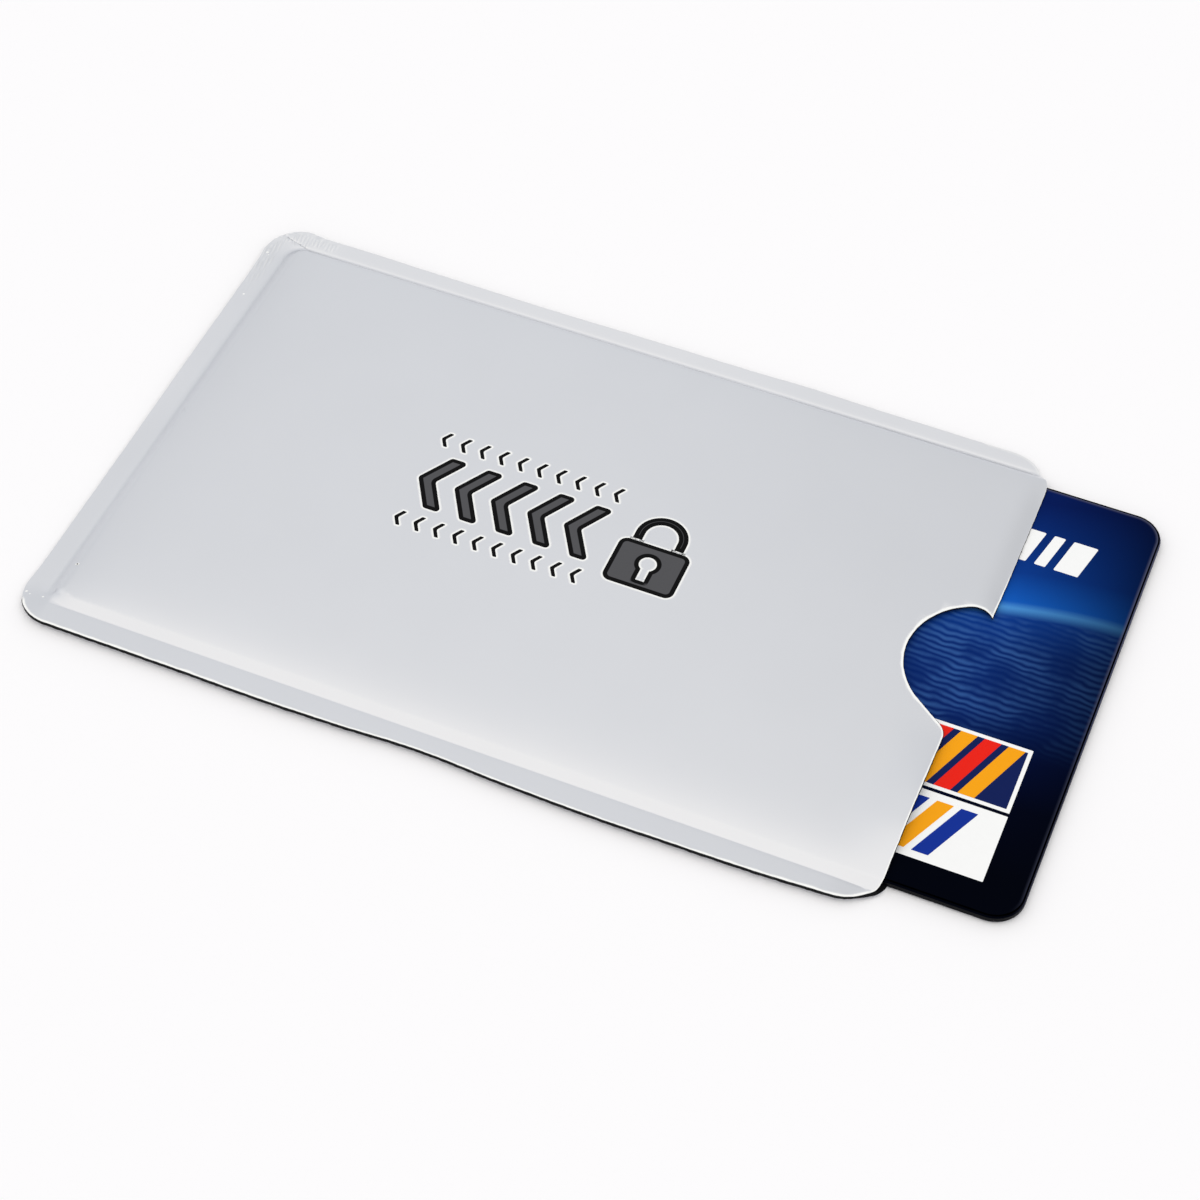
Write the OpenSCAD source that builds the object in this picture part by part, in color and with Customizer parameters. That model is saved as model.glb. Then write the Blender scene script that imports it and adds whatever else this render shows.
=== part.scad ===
// Foil card sleeve with a contactless card standing out of its mouth.
// The origin is the centre of the sleeve's back face, +X runs out of the mouth,
// +Y to the far long edge and +Z out of the printed front. Sizes are millimetres.

/* [Card] */
// Length of the card along the sleeve
card_l = 85.6; // [80:0.1:92]
// Width of the card
card_w = 53.98; // [50:0.01:60]
// Radius of the card's corners
card_corner_r = 3.18; // [2.88:0.01:3.48]
// Thickness of each clear overlay
overlay_t = 0.08; // [0.05:0.01:0.12]
// Thickness of each printed sheet
sheet_t = 0.15; // [0.12:0.01:0.2]
// Thickness of the core sheet that carries the antenna
core_t = 0.30; // [0.27:0.01:0.4]
// How far the card stands out of the mouth
card_out = 13.05; // [0:0.05:60]
// Sideways place of the card in the pocket, 0 is the middle
card_shift = -0.3; // [-0.3:0.05:0.3]

/* [Laminate] */
// Thickness of the matt outer film
film_t = 0.05; // [0.03:0.01:0.08]
// Thickness of the aluminium foil
foil_t = 0.03; // [0.02:0.01:0.05]
// Thickness of the heat-seal liner
liner_t = 0.07; // [0.05:0.01:0.1]

/* [Pocket] */
// Gap beside each long edge of a centred card
side_clear = 0.4; // [0.35:0.05:1.2]
// Gap behind the card when it is fully home
end_clear = 0.5; // [0.2:0.1:3]
// Gap above and below the card
card_gap = 0.05; // [0.03:0.01:0.15]
// How far the mouth reaches past a card that is fully home
mouth_margin = 3; // [1:0.5:8]
// Steepest slope of the step from seal to pocket
ramp_angle = 80; // [65:1:84]
// Radius of the fillet at the foot of the step
foot_r = 0.45; // [0.3:0.05:0.55]
// Radius of the pocket's two closed corners
pocket_corner_r = 3; // [2:0.1:3.2]

/* [Seals] */
// Width of the two long seals
side_seal_w = 2.4; // [1.5:0.1:6]
// Width of the seal across the closed end
end_seal_w = 2.4; // [1.5:0.1:6]
// Radius of the sleeve's corners at the closed end
end_corner_r = 3.3; // [1:0.1:5]
// Radius of the sleeve's corners at the mouth
mouth_corner_r = 4.3; // [1:0.1:6]

/* [Thumb notch] */
// Depth of the notch from the mouth edge
notch_depth = 6.95; // [4:0.05:7.5]
// Radius of the punched arc
notch_r = 7.8; // [6.5:0.1:9]
// Sideways place of the notch
notch_shift = 0.3; // [-3:0.1:3]
// Radius of the small arc that turns in at the far end
notch_lip_r = 2; // [1.2:0.1:2.4]
// Angle of the straight near flank to the length of the sleeve
notch_flank_angle = 36; // [30:1:45]

/* [Print] */
// Thickness of the printed ink
ink_t = 0.02; // [0.01:0.01:0.04]
// Left end of the printed block, from the middle of the sleeve
print_x = -15.2; // [-25:0.1:-8]
// Middle line of the printed block
print_y = 1.1; // [-8:0.1:8]
// Height of the bold chevrons
chevron_h = 7.5; // [5:0.1:9]
// Width of the strokes of the bold chevrons
chevron_t = 2; // [1:0.1:2.4]
// Height of the fine chevrons above and below
fine_h = 2; // [1.5:0.1:2.6]
// Width of the strokes of the fine chevrons
fine_t = 0.42; // [0.3:0.02:0.7]
// Width of the printed padlock
padlock_w = 7.8; // [6:0.1:10]

/* [Chip module] */
// Length of the contact plate
module_l = 13; // [11:0.1:14]
// Width of the contact plate
module_w = 11.8; // [10:0.1:12.5]
// Centre of the contact plate from the card's left edge
module_from_left = 15.06; // [14:0.01:18]
// Centre of the contact plate from the card's far edge
module_from_top = 23.89; // [20:0.01:28]
// Thickness of the gold contacts
contact_t = 0.04; // [0.03:0.01:0.06]
// Thickness of the glass-epoxy tape under the contacts
tape_t = 0.12; // [0.1:0.01:0.13]
// Depth of the resin that covers the die
resin_t = 0.34; // [0.3:0.01:0.35]
// Side of the resin cap
resin_w = 7.4; // [6:0.1:8]
// Side of the silicon die
die_w = 2.4; // [1.5:0.1:4]
// Thickness of the silicon die
die_t = 0.16; // [0.1:0.01:0.2]
// Gap round the module in its window
module_gap = 0.05; // [0.02:0.01:0.1]
// Width of the grooves between the contacts
groove_w = 0.25; // [0.15:0.05:0.4]

/* [Antenna] */
// Number of turns
antenna_turns = 4; // [3:1:5]
// Distance from turn to turn
antenna_pitch = 0.8; // [0.6:0.1:1]
// Width of the copper track
antenna_w = 0.2; // [0.1:0.02:0.3]
// Thickness of the copper track
antenna_t = 0.05; // [0.03:0.01:0.06]
// Distance of the outer turn from the card's edge
antenna_inset = 3.5; // [3:0.1:6]

/* [Card back] */
// Width of the magnetic stripe
stripe_w = 12.7; // [8:0.1:14]
// Distance of the stripe from the card's far edge
stripe_from_top = 4.2; // [3.5:0.1:6]
// Thickness of the stripe and the signature panel
stripe_t = 0.02; // [0.01:0.01:0.04]
// Length of the signature panel
signature_l = 62; // [50:0.5:74]
// Width of the signature panel
signature_w = 9; // [6:0.5:11]
// Gap between the stripe and the signature panel
signature_gap = 3.5; // [2:0.5:8]

/* [Hidden] */
$fn = 64;

// Heights of the two webs and of the card between them
web_t = film_t + foil_t + liner_t;
card_t = core_t + 2 * (sheet_t + overlay_t);
card_z = web_t + card_gap;
pocket_z = card_z + card_t + card_gap;
ramp_h = pocket_z - web_t;

// The step is two arcs that meet at the steepest slope: the upper one is convex,
// the lower one is the fillet at the foot
arc_sum = ramp_h / (1 - cos(ramp_angle));
ramp_w = arc_sum * sin(ramp_angle);
top_r = arc_sum - foot_r;
arc_steps = 6;

// Overall size follows from the card, its clearances, the steps and the seals
pocket_half_w = card_w / 2 + side_clear;
sleeve_w = 2 * (pocket_half_w + ramp_w + side_seal_w);
sleeve_l = end_seal_w + ramp_w + end_clear + card_l + mouth_margin;
mouth_x = sleeve_l / 2;
pocket_end_x = -sleeve_l / 2 + end_seal_w + ramp_w;
corner_x = pocket_end_x + pocket_corner_r;
corner_y = pocket_half_w - pocket_corner_r;
corner_foot_r = pocket_corner_r + ramp_w;

// Centre of the card and of its chip module
card_x = mouth_x + card_out - card_l / 2;
module_x = -card_l / 2 + module_from_left;
module_y = card_w / 2 - module_from_top;
module_r = 1.6;
resin_r = 1;
resin_z = card_t - contact_t - tape_t - resin_t;

// Centres and ends of the arcs of the thumb notch
notch_x = mouth_x - notch_depth + notch_r;
lip_angle = 115;
lip_x = notch_x + (notch_r - notch_lip_r) * cos(lip_angle);
lip_y = notch_shift + (notch_r - notch_lip_r) * sin(lip_angle);
lip_start = acos((mouth_x - lip_x) / notch_lip_r);
flank_start = 270 - notch_flank_angle;
flank_x = notch_x + notch_r * cos(flank_start);
flank_y = notch_shift + notch_r * sin(flank_start);
flank_end_y = flank_y - (mouth_x - flank_x) * tan(notch_flank_angle);
notch_steps = 8;

// Rooms beyond the solids for cuts that pass right through
past = 1;

silver = [0.82, 0.83, 0.85];
foil_grey = [0.72, 0.73, 0.75];
liner_white = [0.93, 0.93, 0.92];
ink_grey = [0.24, 0.24, 0.25];
card_blue = [0.05, 0.13, 0.42];
card_white = [0.90, 0.90, 0.88];

function arc(x, y, r, from, to, steps) =
  [for (i = [0 : steps]) let (a = from + (to - from) * i / steps) [x + r * cos(a), y + r * sin(a)]];

// Points of a surface of the formed web that lies at height up from its inner side,
// run out from the edge of the pocket's top to the foot of the step
function ramp_curve(start, up) = concat(
  arc(start, pocket_z - top_r, top_r + up, 90, 90 - ramp_angle, arc_steps),
  arc(start + ramp_w, web_t + foot_r, foot_r - up, 270 - ramp_angle, 270, arc_steps));

function backwards(points) = [for (i = [len(points) - 1 : -1 : 0]) points[i]];

// Half of the section of one formed layer, from reach inside to reach outside
module half_section(start, inside, outside, low, high) {
  upper = concat([[inside, pocket_z + high]], ramp_curve(start, high), [[outside, web_t + high]]);
  lower = concat([[inside, pocket_z + low]], ramp_curve(start, low), [[outside, web_t + low]]);
  polygon(concat(upper, backwards(lower)));
}

// One layer of the front web over the whole sleeve, before it is trimmed
module formed_layer(low, high, foot_only = false) {
  seal_w = foot_only ? 0 : side_seal_w;
  end_w = foot_only ? 0 : end_seal_w;
  for (side = [0, 1])
    mirror([0, side, 0])
      translate([corner_x, 0, 0])
        rotate([90, 0, 90])
          linear_extrude(mouth_x - corner_x)
            half_section(pocket_half_w, 0, pocket_half_w + ramp_w + seal_w, low, high);
  translate([corner_x, corner_y, 0])
    rotate([90, 0, 0])
      linear_extrude(2 * corner_y)
        mirror([1, 0])
          half_section(pocket_corner_r, 0, corner_foot_r + end_w, low, high);
  for (side = [0, 1])
    mirror([0, side, 0])
      translate([corner_x, corner_y, 0])
        rotate([0, 0, 90])
          rotate_extrude(angle = 90)
            half_section(pocket_corner_r, 0, corner_foot_r, low, high);
  if (!foot_only)
    for (side = [0, 1])
      mirror([0, side, 0])
        translate([corner_x, corner_y, web_t + low])
          linear_extrude(high - low)
            difference() {
              translate([-corner_foot_r - end_w, 0])
                square([corner_foot_r + end_w, corner_foot_r + seal_w]);
              circle(corner_foot_r);
            }
}

// Plate with rounded corners, centred
module plate(l, w, r) {
  square([l, w - 2 * r], center = true);
  square([l - 2 * r, w], center = true);
  for (x = [-1, 1])
    for (y = [-1, 1])
      translate([x * (l / 2 - r), y * (w / 2 - r)])
        circle(r);
}

// Thumb notch, open to the mouth
module notch() {
  polygon(concat(
    [[mouth_x + past, lip_y + notch_lip_r * sin(lip_start)]],
    arc(lip_x, lip_y, notch_lip_r, lip_start, lip_angle, notch_steps),
    arc(notch_x, notch_shift, notch_r, lip_angle, flank_start, 3 * notch_steps),
    [[mouth_x, flank_end_y], [mouth_x + past, flank_end_y]]));
}

// Trimmed outline of both webs
module outline() {
  difference() {
    union() {
      translate([-sleeve_l / 2, -sleeve_w / 2 + end_corner_r])
        square([end_corner_r, sleeve_w - 2 * end_corner_r]);
      translate([-sleeve_l / 2 + end_corner_r, -sleeve_w / 2])
        square([sleeve_l - end_corner_r - mouth_corner_r, sleeve_w]);
      translate([mouth_x - mouth_corner_r, -sleeve_w / 2 + mouth_corner_r])
        square([mouth_corner_r, sleeve_w - 2 * mouth_corner_r]);
      for (side = [-1, 1]) {
        translate([-sleeve_l / 2 + end_corner_r, side * (sleeve_w / 2 - end_corner_r)])
          circle(end_corner_r);
        translate([mouth_x - mouth_corner_r, side * (sleeve_w / 2 - mouth_corner_r)])
          circle(mouth_corner_r);
      }
    }
    notch();
  }
}

// Foot of the step: what lies inside it is pocket, what lies outside is seal
module pocket_foot() {
  translate([corner_x, -pocket_half_w - ramp_w])
    square([mouth_x - corner_x + past, 2 * (pocket_half_w + ramp_w)]);
  translate([corner_x - corner_foot_r, -corner_y])
    square([corner_foot_r, 2 * corner_y]);
  for (side = [-1, 1])
    translate([corner_x, side * corner_y])
      circle(corner_foot_r);
}

module front_layer(low, high, foot_only = false) {
  intersection() {
    formed_layer(low, high, foot_only);
    linear_extrude(pocket_z + web_t + past)
      outline();
  }
}

module front_film() {
  color(silver)
    front_layer(liner_t + foil_t, web_t);
}

module front_foil() {
  color(foil_grey)
    front_layer(liner_t, liner_t + foil_t);
}

module front_liner() {
  color(liner_white)
    front_layer(0, liner_t, foot_only = true);
}

module back_film() {
  color(silver)
    linear_extrude(film_t)
      outline();
}

module back_foil() {
  color(foil_grey)
    translate([0, 0, film_t])
      linear_extrude(foil_t)
        outline();
}

module back_liner() {
  color(liner_white)
    translate([0, 0, film_t + foil_t])
      linear_extrude(liner_t)
        intersection() {
          outline();
          pocket_foot();
        }
}

// Band in which both liners are melted into one, between two stations along X
module seal_band(from_x, to_x, from_y, to_y) {
  color(liner_white)
    translate([0, 0, film_t + foil_t])
      linear_extrude(2 * liner_t)
        difference() {
          intersection() {
            outline();
            translate([from_x, from_y])
              square([to_x - from_x, to_y - from_y]);
          }
          pocket_foot();
        }
}

module end_seal() {
  seal_band(-sleeve_l / 2 - past, corner_x, -sleeve_w, sleeve_w);
}

module far_seal() {
  seal_band(corner_x, mouth_x + past, 0, sleeve_w);
}

module near_seal() {
  seal_band(corner_x, mouth_x + past, -sleeve_w, 0);
}

// Chevron that points into the pocket, its tip at the left
module chevron(h, t) {
  run = h * 0.3;
  polygon([[0, 0], [run, h / 2], [run + t, h / 2], [t, 0], [run + t, -h / 2], [run, -h / 2]]);
}

// Row of chevrons from the left end of the printed block
module chevron_row(count, pitch, h, t) {
  for (i = [0 : count - 1])
    translate([i * pitch, 0])
      chevron(h, t);
}

module padlock(w) {
  body_h = w * 0.78;
  shackle_r = w * 0.36;
  shackle_t = w * 0.13;
  leg_h = w * 0.16;
  keyhole_r = w * 0.12;
  translate([0, -body_h / 2])
    difference() {
      plate(w, body_h, w * 0.12);
      translate([0, keyhole_r / 2])
        circle(keyhole_r);
      translate([-keyhole_r / 2, -2 * keyhole_r])
        square([keyhole_r, 2 * keyhole_r]);
    }
  for (side = [-1, 1])
    translate([side * (shackle_r - shackle_t / 2) - shackle_t / 2, 0])
      square([shackle_t, leg_h]);
  translate([0, leg_h])
    difference() {
      circle(shackle_r);
      circle(shackle_r - shackle_t);
      translate([-w, -w])
        square([2 * w, w]);
    }
}

module front_print() {
  bold_count = 5;
  bold_pitch = chevron_t * 1.25 + chevron_h * 0.22;
  block_w = (bold_count - 1) * bold_pitch + chevron_h * 0.3 + chevron_t;
  fine_count = 10;
  fine_pitch = (block_w - fine_h * 0.3 - fine_t) / (fine_count - 1);
  fine_y = chevron_h / 2 + fine_h * 0.6 + fine_h / 2;
  color(ink_grey)
    translate([print_x, print_y, pocket_z + web_t])
      linear_extrude(ink_t) {
        chevron_row(bold_count, bold_pitch, chevron_h, chevron_t);
        for (side = [-1, 1])
          translate([0, side * fine_y])
            chevron_row(fine_count, fine_pitch, fine_h, fine_t);
        translate([block_w + padlock_w * 0.75, padlock_w * 0.12])
          padlock(padlock_w);
      }
}

// One full sheet of the card between two heights above the card's back
module card_layer(low, high) {
  translate([card_x, card_shift, card_z + low])
    linear_extrude(high - low)
      plate(card_l, card_w, card_corner_r);
}

// Places a thing of the chip module at a height above the card's back
module at_module(up) {
  translate([card_x + module_x, card_shift + module_y, card_z + up])
    children();
}

// Windows that the module is let into: wide for the tape, narrow for the resin
module module_window() {
  at_module(resin_z + resin_t)
    linear_extrude(contact_t + tape_t + past)
      plate(module_l + 2 * module_gap, module_w + 2 * module_gap, module_r + module_gap);
  at_module(resin_z)
    linear_extrude(resin_t)
      plate(resin_w + 2 * module_gap, resin_w + 2 * module_gap, resin_r + module_gap);
}

module card_front_overlay() {
  color(card_blue)
    difference() {
      card_layer(card_t - overlay_t, card_t);
      module_window();
    }
}

module card_front_sheet() {
  color(card_blue)
    difference() {
      card_layer(card_t - overlay_t - sheet_t, card_t - overlay_t);
      module_window();
    }
}

module card_core() {
  color(card_white)
    difference() {
      card_layer(overlay_t + sheet_t, overlay_t + sheet_t + core_t);
      module_window();
      antenna_track();
    }
}

// Straight stretch of track between two points of the card's plane
module track(from, to, level) {
  low = [min(from[0], to[0]) - antenna_w / 2, min(from[1], to[1]) - antenna_w / 2];
  high = [max(from[0], to[0]) + antenna_w / 2, max(from[1], to[1]) + antenna_w / 2];
  translate([low[0], low[1], level])
    cube([high[0] - low[0], high[1] - low[1], antenna_t]);
}

// Flat coil round the card: each turn steps inwards on the left side, and the outer
// end passes under the other turns to reach the module
module antenna_track() {
  top = overlay_t + sheet_t + core_t;
  level = top - antenna_t;
  under = level - 2 * antenna_t;
  first_y = module_y - antenna_turns * antenna_pitch / 2 - antenna_pitch;
  wall_x = module_x - resin_w / 2 - module_gap;
  translate([card_x, card_shift, card_z]) {
    for (turn = [0 : antenna_turns - 1]) {
      x = card_l / 2 - antenna_inset - turn * antenna_pitch;
      y = card_w / 2 - antenna_inset - turn * antenna_pitch;
      start_y = first_y + turn * antenna_pitch;
      stop_y = start_y + antenna_pitch;
      last = turn == antenna_turns - 1;
      track([-x, start_y], [-x, -y], level);
      track([-x, -y], [x, -y], level);
      track([x, -y], [x, y], level);
      track([x, y], [-x, y], level);
      track([-x, y], [-x, stop_y], level);
      track([-x, stop_y], [last ? wall_x - antenna_w / 2 : -x + antenna_pitch, stop_y], level);
    }
    outer_x = -card_l / 2 + antenna_inset;
    track([outer_x, first_y], [wall_x - antenna_w / 2, first_y], under);
    translate([outer_x - antenna_w / 2, first_y - antenna_w / 2, under])
      cube([antenna_w, antenna_w, top - under]);
  }
}

module card_antenna() {
  color([0.78, 0.45, 0.24])
    antenna_track();
}

module card_back_sheet() {
  color(card_white)
    card_layer(overlay_t, overlay_t + sheet_t);
}

module card_back_overlay() {
  color(card_white)
    difference() {
      card_layer(0, overlay_t);
      stripe_band();
      signature_band();
    }
}

module stripe_band() {
  translate([card_x - card_l / 2, card_shift + card_w / 2 - stripe_from_top - stripe_w, card_z])
    cube([card_l, stripe_w, stripe_t]);
}

module signature_band() {
  y = card_w / 2 - stripe_from_top - stripe_w - signature_gap - signature_w / 2;
  translate([card_x, card_shift + y, card_z])
    linear_extrude(stripe_t)
      plate(signature_l, signature_w, 0.8);
}

module magnetic_stripe() {
  color([0.12, 0.10, 0.10])
    stripe_band();
}

module signature_panel() {
  color([0.95, 0.95, 0.93])
    signature_band();
}

// Eight side contacts and the ground field between them, parted by fine grooves
module chip_contacts() {
  row_h = module_w / 4;
  field_w = module_l * 0.34;
  color([0.85, 0.68, 0.30])
    at_module(card_t - contact_t)
      linear_extrude(contact_t)
        difference() {
          plate(module_l, module_w, module_r);
          for (side = [-1, 1]) {
            translate([side * field_w / 2 - groove_w / 2, -module_w / 2 - past])
              square([groove_w, module_w + 2 * past]);
            for (row = [-1, 0, 1])
              translate([side < 0 ? -module_l / 2 - past : field_w / 2, row * row_h - groove_w / 2])
                square([(module_l - field_w) / 2 + past, groove_w]);
          }
        }
}

module chip_tape() {
  color([0.35, 0.42, 0.25])
    at_module(resin_z + resin_t)
      linear_extrude(tape_t)
        plate(module_l, module_w, module_r);
}

module chip_resin() {
  color([0.10, 0.10, 0.11])
    difference() {
      at_module(resin_z)
        linear_extrude(resin_t)
          plate(resin_w, resin_w, resin_r);
      die_block();
    }
}

module die_block() {
  at_module(resin_z + resin_t - die_t)
    translate([-die_w / 2, -die_w / 2, 0])
      cube([die_w, die_w, die_t]);
}

module chip_die() {
  color([0.30, 0.32, 0.36])
    die_block();
}

front_film();
front_foil();
front_liner();
back_liner();
back_foil();
back_film();
end_seal();
far_seal();
near_seal();
front_print();
card_front_overlay();
card_front_sheet();
card_core();
card_antenna();
card_back_sheet();
card_back_overlay();
magnetic_stripe();
signature_panel();
chip_contacts();
chip_tape();
chip_resin();
chip_die();
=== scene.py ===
"""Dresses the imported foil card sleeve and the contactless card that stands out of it."""
import math
from types import SimpleNamespace

import bpy
import numpy as np
from bpy.props import FloatProperty, FloatVectorProperty, IntProperty, PointerProperty
from mathutils import Matrix, Vector
from mathutils.geometry import delaunay_2d_cdt


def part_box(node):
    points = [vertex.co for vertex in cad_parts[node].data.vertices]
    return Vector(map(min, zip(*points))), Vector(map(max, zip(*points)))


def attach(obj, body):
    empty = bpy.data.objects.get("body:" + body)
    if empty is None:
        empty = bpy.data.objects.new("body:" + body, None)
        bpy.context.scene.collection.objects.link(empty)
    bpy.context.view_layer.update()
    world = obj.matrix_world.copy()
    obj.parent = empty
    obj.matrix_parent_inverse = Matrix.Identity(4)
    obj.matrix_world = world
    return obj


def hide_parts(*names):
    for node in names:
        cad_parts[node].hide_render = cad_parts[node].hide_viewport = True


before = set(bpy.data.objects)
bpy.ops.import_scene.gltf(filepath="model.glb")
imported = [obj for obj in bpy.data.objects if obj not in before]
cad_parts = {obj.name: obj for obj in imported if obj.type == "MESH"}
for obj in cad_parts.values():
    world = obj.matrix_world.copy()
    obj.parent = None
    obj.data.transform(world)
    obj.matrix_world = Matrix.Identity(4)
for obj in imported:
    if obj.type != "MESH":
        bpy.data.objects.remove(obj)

bl_info = {
    "name": "Foil card sleeve",
    "version": (1, 0, 0),
    "blender": (4, 5, 0),
    "location": "View3D > Sidebar > Card sleeve",
    "description": "Forms, prints and lights a foil card sleeve and its card",
    "category": "Object",
}

# Plans and heights below are in millimetres, and meshes are written in metres
MM = 0.001


def corners(node):
    """Lowest and highest corner of a CAD node in millimetres."""
    low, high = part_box(node)
    return Vector(low) / MM, Vector(high) / MM


FILM_LOW, FILM_HIGH = corners("front_film")
FOOT_LOW, FOOT_HIGH = corners("front_liner")
CARD_LOW, CARD_HIGH = corners("card_front_overlay")
SHEET_LOW, SHEET_HIGH = corners("card_front_sheet")
MODULE_LOW, MODULE_HIGH = corners("chip_contacts")
PRINT_LOW, PRINT_HIGH = corners("front_print")

# Heights of the laminate's layers in a flat web, from its outer side
FILM_T = corners("back_film")[1].z
FOIL_TOP = corners("back_foil")[1].z
WEB_T = corners("back_liner")[1].z
# Height of the inner side of the front web over a flat pocket
POCKET_Z = FILM_HIGH.z - WEB_T
MOUTH_X = FILM_HIGH.x
HALF_W = FILM_HIGH.y
CARD_MIDDLE = (CARD_LOW + CARD_HIGH) / 2
# Half width of the front web between the shoulders of its long steps
CROWN_HALF_W = 27.6
# How far lines of the mesh run on past the cut that trims them
PAST_CUT = 1.0
# Depth to which raised ink and spots are sunk into the film
SUNK = 0.004
# How far a chevron's tip stands out, over its height
CHEVRON_RUN = 0.3
# Distance between points along printed outlines
PRINT_STEP = 0.12


def linear(hex_colour):
    """Scene-linear RGB of an sRGB hex colour."""
    value = int(hex_colour.lstrip("#"), 16)
    parts = [(value >> shift & 255) / 255 for shift in (16, 8, 0)]
    return tuple(c / 12.92 if c <= 0.04045 else ((c + 0.055) / 1.055) ** 2.4 for c in parts)


def length(name, description, size, high=100.0):
    """Property that holds a length, given in millimetres."""
    return FloatProperty(name=name, description=description, default=size * MM,
                         min=0.0, max=high * MM, unit="LENGTH", precision=5)


def angle(name, description, degrees):
    return FloatProperty(name=name, description=description, default=math.radians(degrees),
                         subtype="ANGLE", unit="ROTATION")


def colour(name, description, hex_colour):
    return FloatVectorProperty(name=name, description=description, default=linear(hex_colour),
                               size=3, min=0.0, max=1.0, subtype="COLOR")


def share(name, description, value, high=1.0):
    return FloatProperty(name=name, description=description, default=value, min=0.0, max=high,
                         subtype="FACTOR")


class SleeveShape(bpy.types.PropertyGroup):
    """Sizes of the formed pouch"""
    end_corner_r: length("Near end corner", "Radius of the near corner at the closed end", 4.4)
    far_end_corner_r: length("Far end corner", "Radius of the far corner at the closed end", 4.2)
    mouth_corner_r: length("Near mouth corner", "Radius of the near corner at the mouth", 4.3)
    far_mouth_corner_r: length("Far mouth corner", "Radius of the far corner at the mouth", 5.0)
    pocket_corner_r: length("Near pocket corner", "Radius of the foot of the step at its near corner", 1.3)
    far_pocket_r: length("Far pocket corner", "Radius of the foot of the step at its far corner", 2.4)
    notch_depth: length("Notch depth", "Depth of the thumb notch from the mouth", 6.95)
    notch_r: length("Notch radius", "Radius of the punched arc", 7.8)
    notch_shift: length("Notch shift", "Place of the notch off the middle line", 0.3)
    notch_lip_r: length("Notch lip", "Radius of the small arc that turns in at the far end", 2.0)
    notch_blend_r: length("Notch blend", "Radius where the flank meets the mouth", 2.0)
    notch_flank: angle("Notch flank", "Angle of the straight near flank to the sleeve", 36)
    near_trim: length("Near trim", "Width that the near cut leaves past the solid's edge", 0.35)
    far_trim: length("Far trim", "Width that the far cut takes off the solid's edge", 0.33)
    end_trim: length("End trim", "Width by which the end cut is drawn in between its corners", 0.16)
    near_float: length("Near float", "Height of the near seal over the table", 0.24)
    far_float: length("Far float", "Height of the far seal over the table", 0.08)
    end_float: length("End float", "Height of the end seal over the table", 0.06)
    near_bead: length("Near bead", "Extra thickness of the near seal where melt gathered", 0.20)
    near_curl: angle("Near curl", "Angle at which the near seal rises to its cut edge", 3.0)
    far_curl: angle("Far curl", "Angle at which the far seal rises to its cut edge", 6.6)
    end_curl: angle("End curl", "Angle at which the far half of the end seal rises to its cut", 4.2)
    end_droop: angle("End droop", "Angle at which the near half of the end seal falls to its cut", 0.9)
    melt_w: length("Melt", "Width of liner squeezed out of the cuts", 0.10)
    corner_gap: length("Corner gap", "Width of back web that shows past the front at the mouth", 0.42)
    pillow_h: length("Pillow", "Rise of the front web past its near edge", 0.38)
    near_reach: length("Near reach", "Distance in which the near rise dies away", 2.2)
    crown_h: length("Crown", "Broad crown of the front across its width", 0.05)
    far_dip: length("Far dip", "Fall of the front web towards its far edge", 0.13)
    far_reach: length("Far reach", "Distance in which the far fall grows", 3.2)
    end_reach: length("End reach", "Distance in which the rise past the closed end dies away", 3.0)
    mouth_dip: length("Mouth dip", "Fall of the front web at the far part of the mouth", 0.24)
    gape_h: length("Gape", "Lift of the front web at the near corner of the mouth", 0.45)
    crimp_pitch: length("Crimp pitch", "Distance between the ridges at the far corner", 0.42)
    crimp_h: length("Crimp height", "Height of the ridges at the far corner", 0.026)
    rim_w: length("Cut rim", "Width of the film that whitens along a cut", 0.30)


class FilmLook(bpy.types.PropertyGroup):
    """Colours and finish of the laminate"""
    silver: colour("Silver", "Matt film over aluminium", "#dadbdf")
    # Also the colour of the painted highlight along the cuts that face the near side
    white: colour("Cut edge", "Film that is stressed white along a cut", "#fdfdfb")
    # The liner's near-black is painted shade: it stands in for the shadow in the cut edges
    liner: colour("Liner", "Heat-seal liner", "#141416")
    foil: colour("Foil", "Bare aluminium foil", "#c9cbce")
    roughness: share("Roughness", "Roughness of the matt film", 0.34)


class PrintShape(bpy.types.PropertyGroup):
    """Sizes and colours of the printed block"""
    chevron_h: length("Chevron height", "Height of the bold chevrons", 7.5)
    chevron_t: length("Chevron stroke", "Width of the strokes of the bold chevrons", 2.0)
    bold_count: IntProperty(name="Bold chevrons", description="Number of bold chevrons",
                            default=5, min=1, max=9)
    fine_h: length("Fine height", "Height of the fine chevrons", 2.0)
    fine_t: length("Fine stroke", "Width of the strokes of the fine chevrons", 0.46)
    fine_count: IntProperty(name="Fine chevrons", description="Number of fine chevrons in a row",
                            default=10, min=1, max=20)
    padlock_w: length("Padlock width", "Width of the printed padlock", 7.8)
    ink_t: length("Ink thickness", "Height of the ink over the film", 0.03)
    outline_w: length("Outline", "Width of the black line round the bold shapes", 0.46)
    halo_w: length("Halo", "Width of the pale underprint round every shape", 0.30)
    fill: colour("Ink", "Filled ink of the bold shapes", "#535356")
    black: colour("Outline ink", "Ink of the outlines and the fine chevrons", "#0a0a0b")


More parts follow.
